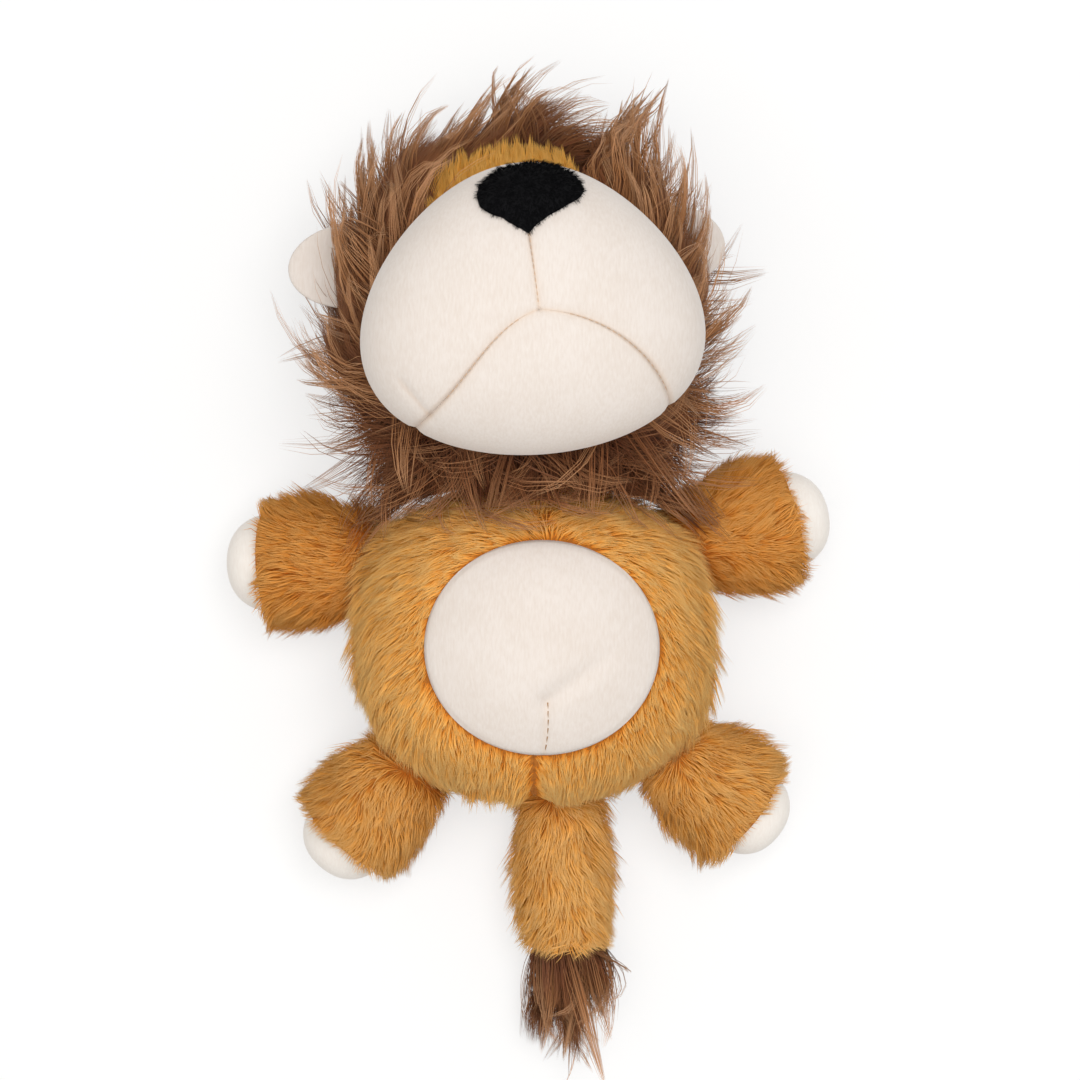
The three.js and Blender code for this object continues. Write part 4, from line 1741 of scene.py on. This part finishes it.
    def build(self) -> bpy.types.Object:
        """Sews the muzzle, and gives back its whole skin, for the nose to lie on.

        Returns:
            The whole skin.
        """
        bun, spoke, reach = self.shaped()
        per_panel = self.spokes // 3
        open_seam = smooth(self.nose_foot + 2, self.nose_foot - 2, read_points(bun)[:, 1])
        on_seam = (np.minimum(spoke % per_panel, per_panel - spoke % per_panel) < 0.5) & (reach < 1)
        held = np.where((on_seam & (open_seam > 0.5)) | (reach > 1.15) | (reach < 0.04), 1.0, 0.0)
        inflate(bun, held, pressure=2.2, cap=2.2)
        points = read_points(bun)
        distance = self.seam_distance(points)
        dart = near_line(points, self.dart_top, self.dart_foot)
        front = (reach < 1.02) * open_seam
        valley = front * (0.5 * np.exp(-((distance / 4.0) ** 2)) + 0.4 * np.exp(-((distance / 0.9) ** 2)))
        valley -= front * 0.2 * np.exp(-(((distance - 2.8) / 1.2) ** 2))
        valley += front * 0.5 * np.exp(-((dart / 1.2) ** 2))
        write_points(bun, HEAD.out(points - facings_of(bun) * valley[:, None]))
        depth = front * (0.3 * np.exp(-((distance / 0.45) ** 2)) + 0.1 * np.exp(-((distance / 1.8) ** 2)))
        mark_seam(bun, depth + front * 0.25 * np.exp(-((dart / 0.5) ** 2)))
        self.sew(bun)
        corner_spokes = self.face_spokes(bun, spoke)
        panels = (
            ("muzzle_velour_left", "muzzle_cheek_left"),
            ("muzzle_velour_chin", "muzzle_chin"),
            ("muzzle_velour_right", "muzzle_cheek_right"),
        )
        for number, (name, node) in enumerate(panels):
            panel = copied(bun, name)
            drop_faces(panel, corner_spokes != number)
            thicken(panel, 1.2)
            dress(panel, VELOUR, "head", [node])
        return bun

    def face_spokes(self, bun: bpy.types.Object, spoke: Array) -> Array:
        """Which panel each face belongs to.

        Args:
            bun: The whole skin.
            spoke: The spoke's number of each vertex.

        Returns:
            One panel's number for each face.
        """
        per_panel = self.spokes // 3
        panels = np.zeros(len(bun.data.polygons), int)
        for face in bun.data.polygons:
            own = spoke[list(face.vertices)]
            if own.max() - own.min() > self.spokes / 2:
                own = np.where(own < self.spokes / 2, own + self.spokes, own)
            panels[face.index] = int(np.median(own) // per_panel) % 3
        return panels


@dataclass(frozen=True)
class Nose:
    """The nose: a padded patch of black velour on the upper front of the muzzle."""

    lift: float = 60.5
    reaches: tuple[tuple[float, float], ...] = (
        (90, 10.0), (60, 11.0), (35, 13.0), (12, 14.9), (-9, 15.5), (-22, 14.4), (-40, 12.3), (-62, 11.7),
        (-78, 12.2), (-90, 13.0),
    )
    stand: tuple[float, float, float] = (0.0, -2.0, 44.0)
    plump: float = 2.4
    tilt: float = 8.0
    tip_lean: float = 3.8
    nap: Pile = Pile(
        length=1.8, width=0.2, steps=1, density=7.0, lift=42, fall=0.0, clump=1.6, pull=0.2, wander=40
    )

    def build(self, muzzle: bpy.types.Object) -> None:
        """Lays the patch on the muzzle's skin and plants its nap.

        Args:
            muzzle: The muzzle's whole skin.
        """
        patch = add_disc("nose_velour", 40)
        share = read_points(patch)
        radius = np.hypot(share[:, 0], share[:, 1])
        turns = np.degrees(np.arctan2(share[:, 1], np.abs(share[:, 0])))
        angles, reaches = zip(*sorted(self.reaches))
        reach = np.interp(turns, angles, reaches)
        local = share * (reach / np.maximum(np.hypot(*share[:, :2].T), 1e-6) * radius)[:, None]
        local[:, 0] -= self.tip_lean * smooth(-2, -13, local[:, 1]) ** 3
        stand = Place.made(self.stand, (-self.lift, "X"), (self.tilt, "Z"))
        whole = Place(HEAD.turn @ stand.turn, HEAD.out(stand.origin[None])[0])
        inward = whole.out_way(np.array([[0, 0, -1.0]]))[0]
        points, facings = landed(muzzle, whole.out(local + [0, 0, ABOVE_HEAD]), inward)
        write_points(patch, points + facings * (self.plump * (1 - radius**3) + 0.5)[:, None])
        patch.data.update()
        modify(patch, "SMOOTH", factor=0.5, iterations=4)

        def comb(points: Array) -> tuple[Array, Array]:
            """The nap lies down the nose."""
            return np.tile(whole.turn[:, 2], (len(points), 1)), np.tile([0.15, -1.0, 0], (len(points), 1))

        dress(planted("nose_nap", Surface.of(patch), [self.nap], Groom(comb), 7), NOSE_NAP, "head")
        mark_seam(patch, 0 * radius)
        thicken(patch, 1.5)
        dress(patch, NOSE_VELOUR, "head", ["nose_patch"])


@dataclass(frozen=True)
class Stroke:
    """One stroke of the brush over the mane, seen from the front of the head.

    x and y are where it passes, way is its direction in degrees from the lion's left to right, and lift and
    length are shares of the hair's own.
    """

    x: float
    y: float
    way: float
    lift: float = 1.0
    length: float = 1.0


@dataclass(frozen=True)
class Mane:
    """The mane and the face it frames: hair cloth round the head ball, and a strip of plush over the muzzle."""

    ball: float = 47.3
    ear_seam: float = -8.0
    face_half: tuple[float, float] = (23.0, 19.5)
    face_middle: tuple[float, float] = (-5.0, 30.5)
    face_from: float = 19.0
    brush_reach: float = 7.0
    strokes: tuple[Stroke, ...] = (
        Stroke(3, 48, 84, 1.4, 0.85),
        Stroke(-8, 47, 46, 0.85, 0.75),
        Stroke(-20, 42, 42, 0.85, 0.72),
        Stroke(-28, 38, 72, 0.85, 0.74),
        Stroke(-34, 31, 92, 0.9, 0.86),
        Stroke(-44, 16, 92, 0.6, 0.9),
        Stroke(-48, -6, 108, 0.7, 0.85),
        Stroke(-47, -20, 156, 0.8, 0.85),
        Stroke(-42, -32, 218, 0.6, 0.65),
        Stroke(-30, -41, 236, 0.8, 1.1),
        Stroke(-16, -45, 262, 0.6, 1.1),
        Stroke(-6, -47, 296, 0.7, 1.15),
        Stroke(6, -48, 262, 0.6, 1.1),
        Stroke(16, -46, 284, 0.6, 1.2),
        Stroke(29, -41, 304, 0.7, 1.3),
        Stroke(40, -32, 334, 0.7, 0.8),
        Stroke(47, -14, 46, 0.9, 0.9),
        Stroke(48, 6, 68, 0.8, 0.85),
        Stroke(40, 26, 84, 0.9, 0.9),
        Stroke(30, 37, 98, 1.0, 0.85),
        Stroke(21, 44, -30, 0.8, 0.75),
        Stroke(12, 47, 26, 1.1, 0.8),
    )
    hair: Pile = Pile(
        length=27, width=0.3, steps=3, density=1.95, lift=18, fall=0.8, spread=0.16, clump=1.9, pull=0.4,
        lock=7, lock_pull=0.15, sway=9, curl=24, wander=12, weight=0.1, hug=0.7, softness=0.45,
    )
    locks: Pile = Pile(
        length=36, width=0.3, steps=5, density=0.48, lift=36, fall=0.9, spread=0.3, clump=4.2, pull=0.9,
        sway=24, curl=42, wander=6, weight=0.15, hug=0.35, softness=0.4,
    )
    beard_hair: Pile = Pile(
        length=26, width=0.3, steps=4, density=1.5, lift=24, fall=0.8, spread=0.35, clump=2.4, pull=0.5,
        lock=8, lock_pull=0.4, sway=26, curl=50, wander=14, weight=0.1, hug=0.6, softness=0.4,
    )
    beard_locks: Pile = Pile(
        length=34, width=0.3, steps=5, density=0.5, lift=36, fall=0.8, spread=0.35, clump=4.0, pull=0.88,
        sway=38, curl=64, wander=8, weight=0.2, hug=0.4, softness=0.4,
    )
    face_pile: Pile = Pile(
        length=7.5, width=0.36, steps=2, density=2.9, lift=64, fall=0.35, clump=1.8, pull=0.45, wander=16,
        curl=16,
    )
    muzzle: Egg = Egg(48.5, 41.5, 8, 29.5, 2, 2.2, (0, -2, 44), 2, HEAD)
    off_chest: float = 2.5
    chest_below: float = -24.0
    chest_above: float = -20.0
    rim_height: float = 37.0
    neck_radius: float = 12.0
    ear_band: tuple[float, float] = (4.5, 30.0)
    ear_left_from: float = -53.5
    ear_right_from: float = 60.0
    spared: float = 0.03

    def on_face(self, own: Array) -> Array:
        """Marks the places that the face panel covers."""
        x, y = ((own[:, :2] - self.face_middle) / self.face_half).T
        return (np.hypot(x, y) < 1) & (own[:, 2] > self.face_from)

    def on_chest(self, own: Array) -> Array:
        """Marks the roots of the hair that hangs over the chest."""
        return (own[:, 1] < self.chest_below) & (own[:, 2] > self.chest_above)

    def ball_skin(self, name: str, radius: float, segments: int, rings: int) -> bpy.types.Object:
        """A ball round the head's middle, with its poles on the head's own Z.

        Args:
            name: The ball's name.
            radius: Its radius.
            segments: Faces round it.
            rings: Faces from pole to pole.

        Returns:
            The ball.
        """
        ball = add_ball(name, segments, rings)
        write_points(ball, HEAD.out(read_points(ball) * radius))
        return ball

    def brush(self, own: Array) -> tuple[Array, Array, Array]:
        """What the strokes of the brush make of the hair.

        Args:
            own: Places in the head's frame.

        Returns:
            The way it lies, and the shares of its lift and of its length.
        """
        places = np.array([(s.x, s.y) for s in self.strokes])
        ways = np.radians([s.way for s in self.strokes])
        squares = ((own[:, None, :2] - places[None]) ** 2).sum(axis=2) + self.brush_reach**2
        weights = squares**-2.5
        weights /= weights.sum(axis=1, keepdims=True)
        flow = weights @ np.stack([np.cos(ways), np.sin(ways), 0 * ways], axis=1)
        lift = weights @ np.array([s.lift for s in self.strokes])
        length = weights @ np.array([s.length for s in self.strokes])
        return unit(flow), lift, length

    def comb(self, points: Array) -> tuple[Array, Array]:
        """The hair lies as it was brushed in front, and fans out behind.

        Args:
            points: Places in the lion's frame.

        Returns:
            The way off the cloth and the way that the hair lies.
        """
        own = HEAD.into(points)
        flow = self.brush(own)[0]
        behind = smooth(-12, -38, own[:, 2])[:, None]
        flow = flow * (1 - behind) + unit(own * [1, 1, 0]) * behind
        flow[:, 2] -= 0.25 * smooth(-10, 30, own[:, 2])
        return HEAD.out_way(unit(own)), HEAD.out_way(flow)

    def cover(self, points: Array) -> Array:
        """Hair grows thick in front and thinner behind, and not in the neck.

        Args:
            points: Places in the lion's frame.

        Returns:
            The cover's share at each place.
        """
        own = HEAD.into(points)
        neck = np.linalg.norm(points - NECK, axis=1) < self.neck_radius
        return np.where(neck, 0, 0.22 + 0.74 * smooth(-36, -17, own[:, 2]))

    def lift(self, points: Array) -> Array:
        """How the brush lifts the hair, which lies flatter at the muzzle."""
        own = HEAD.into(points)
        return self.brush(own)[1] * (1 - 0.3 * smooth(28, 38, own[:, 2]))

    def length(self, points: Array) -> Array:
        """How the hair is trimmed: shorter at the muzzle's rim and in front of the ears.

        Args:
            points: Places in the lion's frame.

        Returns:
            The length's share at each place.
        """
        own = HEAD.into(points)
        x, y, z = own.T
        ear = smooth(20, 8, np.hypot(y - 15, z + 8)) * (0.4 * (x < -30) + 0.1 * (x > 30))
        low = smooth(-20, -34, y) * smooth(0, -26, z) * smooth(30, 40, np.abs(x))
        return self.brush(own)[2] * (1 - 0.25 * smooth(30, 42, z)) * (1 - ear) * (1 - 0.4 * low)

    def clear_of_ears(self, strands: Strands) -> Array:
        """Marks the strands that leave the ears to be seen.

        Args:
            strands: The hair.

        Returns:
            One mark for each strand.
        """
        own = HEAD.into(strands.paths.reshape(-1, 3)).reshape(strands.paths.shape)
        x, y, z = own[:, :, 0], own[:, :, 1], own[:, :, 2]
        beside = (z > self.ear_seam - 1) & (y > self.ear_band[0]) & (y < self.ear_band[1])
        crossing = (beside & ((x < self.ear_left_from) | (x > self.ear_right_from))).any(axis=1)
        spared = np.random.default_rng(SEED).random(len(crossing)) < self.spared
        return ~crossing | spared

    def plant(self, stretch: str, skin: bpy.types.Object, seed: int) -> None:
        """Grows one stretch's hair and the paler locks over it: what hangs over the chest is left out of every
        body.

        Args:
            stretch: The stretch's word: left, right or back.
            skin: Its cloth.
            seed: Which random draws it takes.
        """
        guards = (Torso().room.grown(self.off_chest), self.muzzle)
        layers = (
            ("mane_hair", self.hair, MANE_HAIR, False),
            ("mane_locks", self.locks, MANE_LOCKS, False),
            # The beard's layers take the darker copies of the mane's finishes, which are painted shade under
            # the muzzle.
            ("beard_hair", self.beard_hair, BEARD_SHADED_HAIR, True),
            ("beard_locks", self.beard_locks, BEARD_SHADED_LOCKS, True),
        )
        for word, pile, finish, hangs in layers:

            def cover(points: Array) -> Array:
                """The hair's cover where this layer grows."""
                return self.cover(points) * (self.on_chest(HEAD.into(points)) == hangs)

            strands = pile.grow(Surface.of(skin), Groom(self.comb, cover, self.length, self.lift, guards), seed)
            strands = strands.kept(self.clear_of_ears(strands))
            piece = strands.mesh(f"{word}_{stretch}")
            if not hangs:
                dress(piece, finish, "head")
                continue
            piece.data.materials.append(material_of(finish))
            piece.data.shade_smooth()
            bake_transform(piece)

    def face(self) -> None:
        """The strip of bright plush between the muzzle and the mane."""
        skin = self.ball_skin("face_plush", self.ball - 0.6, 128, 96)
        drop_faces(skin, ~self.on_face(HEAD.into(face_middles(skin))))

        def comb(at: Array) -> tuple[Array, Array]:
            """The pile stands up and leans back from the muzzle."""
            own = HEAD.into(at)
            return HEAD.out_way(unit(own)), HEAD.out_way(np.tile([0.05, 1.0, 0.1], (len(own), 1)))

        dress(planted("face_pile", Surface.of(skin), [self.face_pile], Groom(comb), 80), FACE_PILE, "head")
        thicken(skin, 1.0)
        dress(skin, PLUSH_BACKING, "head", ["face_panel"])

    def build(self) -> None:
        """Sews the mane and the face strip."""
        ball = self.ball_skin("mane_skin", self.ball, 96, 64)
        own = HEAD.into(face_middles(ball))
        drop_faces(ball, (own[:, 2] > self.rim_height) | self.on_face(own))
        middle = HEAD.out(np.array([[0, 0, self.ear_seam]]))[0]
        forward = HEAD.out_way(np.array([[0, 0, 1.0]]))[0]
        across = HEAD.out_way(np.array([[1.0, 0, 0]]))[0]
        parts = (
            ("left", forward, across, "mane_front_left"),
            ("right", forward, -across, "mane_front_right"),
            ("back", -forward, None, "mane_back"),
        )
        for seed, (stretch, keep, side, node) in enumerate(parts):
            panel = copied(ball, "mane_cloth_" + stretch)
            trim(panel, middle, -keep)
            if side is not None:
                trim(panel, HEAD.origin, side)
            self.plant(stretch, panel, 110 + seed)
            thicken(panel, 1.0)
            dress(panel, MANE_BACKING, "head", [node])
        bpy.data.objects.remove(ball)
        self.face()
        fill_with_fibre("head_stuffing", "head")


@dataclass(frozen=True)
class Ear:
    """An ear: a velour lining and a brown cover, sewn together round a half oval and cupped."""

    side: str
    half_height: float = 12.8
    reach: float = 20.0
    thickness: float = 5.0
    tilt: float = 6.0
    fur_share: float = 0.62
    pile: Pile = Pile(length=6, width=0.38, steps=2, density=2.0, lift=24, clump=2.2, pull=0.4, softness=0.35)

    def fur(self, layer: bpy.types.Object, place: Place, body: str) -> None:
        """Plants the cover with short brown pile that lies out towards the ear's edge.

        Args:
            layer: The cover's cloth.
            place: The ear's frame.
            body: The body that it moves with.
        """

        def comb(at: Array) -> tuple[Array, Array]:
            """The pile lies off the back of the ear and outwards."""
            off, out = place.out_way(np.array([[0, 0, -1.0], [1.0, 0, -0.1]]))
            return np.tile(off, (len(at), 1)), np.tile(out, (len(at), 1))

        def cover(at: Array) -> Array:
            """None grows at the edge, where the cover meets the lining."""
            own = place.into(at)
            return 1.0 * (np.hypot(own[:, 0] / self.reach, own[:, 1] / self.half_height) < self.fur_share)

        fur = planted(f"{body}_cover_pile", Surface.of(layer), [self.pile], Groom(comb, cover), 8)
        dress(fur, MANE_HAIR, body)

    def build(self) -> None:
        """Sews the ear's two layers."""
        sign = -1 if self.side == "left" else 1
        turn = HEAD.turn @ np.array(Matrix.Rotation(math.radians(sign * self.tilt), 3, "Y"))
        place = Place(turn @ np.diag([sign, 1, 1]), joint_point(f"ear_{self.side}_flop"))
        for upper, word, finish in ((True, "lining", VELOUR), (False, "cover", MANE_BACKING)):
            body = f"ear_{self.side}"
            layer = add_ball(f"{body}_{word}_cloth", 48, 32)
            x, y, z = read_points(layer).T
            half = np.abs(z) ** 0.8 * self.thickness / 2
            height = np.where((z > 0) == upper, half, 0.12 * half) * (1 if upper else -1)
            cup = 2.5 * (y * y) - 1.5 * x
            local = np.stack([x * self.reach, y * self.half_height, height + 0.25 + cup], axis=1)
            local[:, 0] = np.maximum(local[:, 0], -2)
            write_points(layer, place.out(local))
            pick(layer)
            bpy.ops.object.mode_set(mode="EDIT")
            bpy.ops.mesh.select_all(action="SELECT")
            bpy.ops.mesh.remove_doubles(threshold=0.02 * MM)
            bpy.ops.mesh.normals_make_consistent(inside=False)
            bpy.ops.object.mode_set(mode="OBJECT")
            mark_seam(layer, np.zeros(len(layer.data.vertices)))
            if not upper:
                self.fur(layer, place, body)
            dress(layer, finish, body, [f"{body}_{word}"])


@dataclass(frozen=True)
class Eye:
    """An eye: a small dome of satin stitches."""

    side: int
    spread: float = 0.24
    rise: float = 0.84
    depth: float = 47.9
    radius: float = 2.4
    stitches: int = 13

    def build(self) -> None:
        """Works the stitches over the dome."""
        word = "left" if self.side < 0 else "right"
        way = np.array([self.side * self.spread, self.rise, math.sqrt(1 - self.spread**2 - self.rise**2)])
        up = unit(np.cross(way, [1.0, 0, 0]))
        turn = HEAD.turn @ np.stack([np.cross(up, way), up, way], axis=1)
        place = Place(turn, HEAD.out((way * self.depth)[None])[0])
        dome = add_ball(f"eye_{word}_stitches", 64, 32)
        local = read_points(dome)
        ridges = 0.06 * np.cos(local[:, 0] * math.pi * self.stitches)
        local = local * [self.radius, self.radius * 1.1, 1.3] * (1 + ridges)[:, None]
        write_points(dome, place.out(local))
        dress(dome, EYE_THREAD, "head", [f"eye_{word}"])


@dataclass(frozen=True)
class Studio:
    """A pale floor, soft light and a camera straight above, as the lion was photographed."""

    aim: tuple[float, float] = (1.8, 33.0)
    frame_width: float = 324.0
    plane: float = 40.0
    distance: float = 1200.0
    sensor: float = 36.0
    lit_point: tuple[float, float, float] = (0.0, 0.03, 0.04)
    floor_size: float = 8.0
    floor_glow: float = 0.62
    floor_share: float = 0.55
    sky: float = 0.42
    key_power: float = 12.2
    fill_power: float = 6.2

    def camera(self) -> None:
        """The camera, looking straight down."""
        data = bpy.data.cameras.new("camera")
        data.sensor_width = self.sensor
        data.lens = self.sensor * self.distance / self.frame_width
        camera = bpy.data.objects.new("camera", data)
        camera.location = (self.aim[0] * MM, self.aim[1] * MM, (self.plane + self.distance) * MM)
        bpy.context.scene.collection.objects.link(camera)
        bpy.context.scene.camera = camera

    def lamp(self, name: str, power: float, size: float, place: Sequence[float], tint: Sequence[float]) -> None:
        """A square soft light that faces the lion.

        Args:
            name: The lamp's name.
            power: Its power in watts.
            size: Its side in metres.
            place: Where it hangs, in metres.
            tint: Its colour.
        """
        data = bpy.data.lights.new(name, "AREA")
        data.energy = power
        data.size = size
        data.color = tint
        lamp = bpy.data.objects.new(name, data)
        lamp.location = place
        lamp.rotation_euler = (Vector(self.lit_point) - Vector(place)).to_track_quat("-Z", "Y").to_euler()
        bpy.context.scene.collection.objects.link(lamp)

    def floor(self) -> None:
        """A wide floor that keeps the lion's shadow and looks white to the camera."""
        bpy.ops.object.select_all(action="DESELECT")
        bpy.ops.mesh.primitive_plane_add(size=self.floor_size)
        floor = bpy.context.object
        floor.name = "floor"
        tree = Tree("floor_paper")
        shade = tree.noise(3, 2)
        paper = tree.add(
            "ShaderNodeBsdfDiffuse", {"Color": tree.ramp(shade, [(0, "#E9E9E8"), (1, "#EFEFEE")])}
        ).outputs[0]
        white = {"Color": (1, 1, 1, 1), "Strength": self.floor_glow}
        glow = tree.add("ShaderNodeEmission", white).outputs[0]
        half = tree.add("ShaderNodeMixShader", {"Fac": self.floor_share, 1: paper}).outputs[0]
        lit = tree.add("ShaderNodeAddShader", {0: half, 1: glow}).outputs[0]
        seen = tree.add("ShaderNodeLightPath").outputs["Is Camera Ray"]
        mixed = tree.add("ShaderNodeMixShader", {"Fac": seen, 1: paper, 2: lit})
        tree.material.node_tree.links.new(mixed.outputs[0], tree.output.inputs["Surface"])
        floor.data.materials.append(tree.material)

    def sky_light(self) -> None:
        """An even white surround."""
        world = bpy.data.worlds.new("surround")
        world.use_nodes = True
        nodes, links = world.node_tree.nodes, world.node_tree.links
        nodes.clear()
        path = nodes.new("ShaderNodeLightPath")
        light = nodes.new("ShaderNodeBackground")
        light.inputs["Strength"].default_value = self.sky
        white = nodes.new("ShaderNodeBackground")
        white.inputs["Color"].default_value = (1, 1, 1, 1)
        light.inputs["Color"].default_value = (1, 1, 1, 1)
        mixed = nodes.new("ShaderNodeMixShader")
        output = nodes.new("ShaderNodeOutputWorld")
        links.new(path.outputs["Is Camera Ray"], mixed.inputs["Fac"])
        links.new(light.outputs[0], mixed.inputs[1])
        links.new(white.outputs[0], mixed.inputs[2])
        links.new(mixed.outputs[0], output.inputs["Surface"])
        bpy.context.scene.world = world

    def build(self) -> None:
        """Sets the studio up."""
        self.camera()
        self.floor()
        self.sky_light()
        self.lamp("key", self.key_power, 0.8, (0.26, 0.24, 1.55), (0.99, 0.99, 1.0))
        self.lamp("fill", self.fill_power, 1.0, (-0.3, -0.15, 1.5), (1.0, 0.95, 0.89))
        bpy.context.scene.view_settings.view_transform = "Standard"


def main() -> None:
    """Builds the studio, then the lion from the torso out."""
    logging.basicConfig(level=logging.INFO, format="%(message)s")
    Studio().build()
    Torso().build()
    for limb in LIMBS:
        limb.build()
    skin = Muzzle().build()
    Nose().build(skin)
    bpy.data.objects.remove(skin)
    Mane().build()
    for side in ("left", "right"):
        Ear(side).build()
    for side in (-1, 1):
        Eye(side).build()


if __name__ == "__main__":
    main()
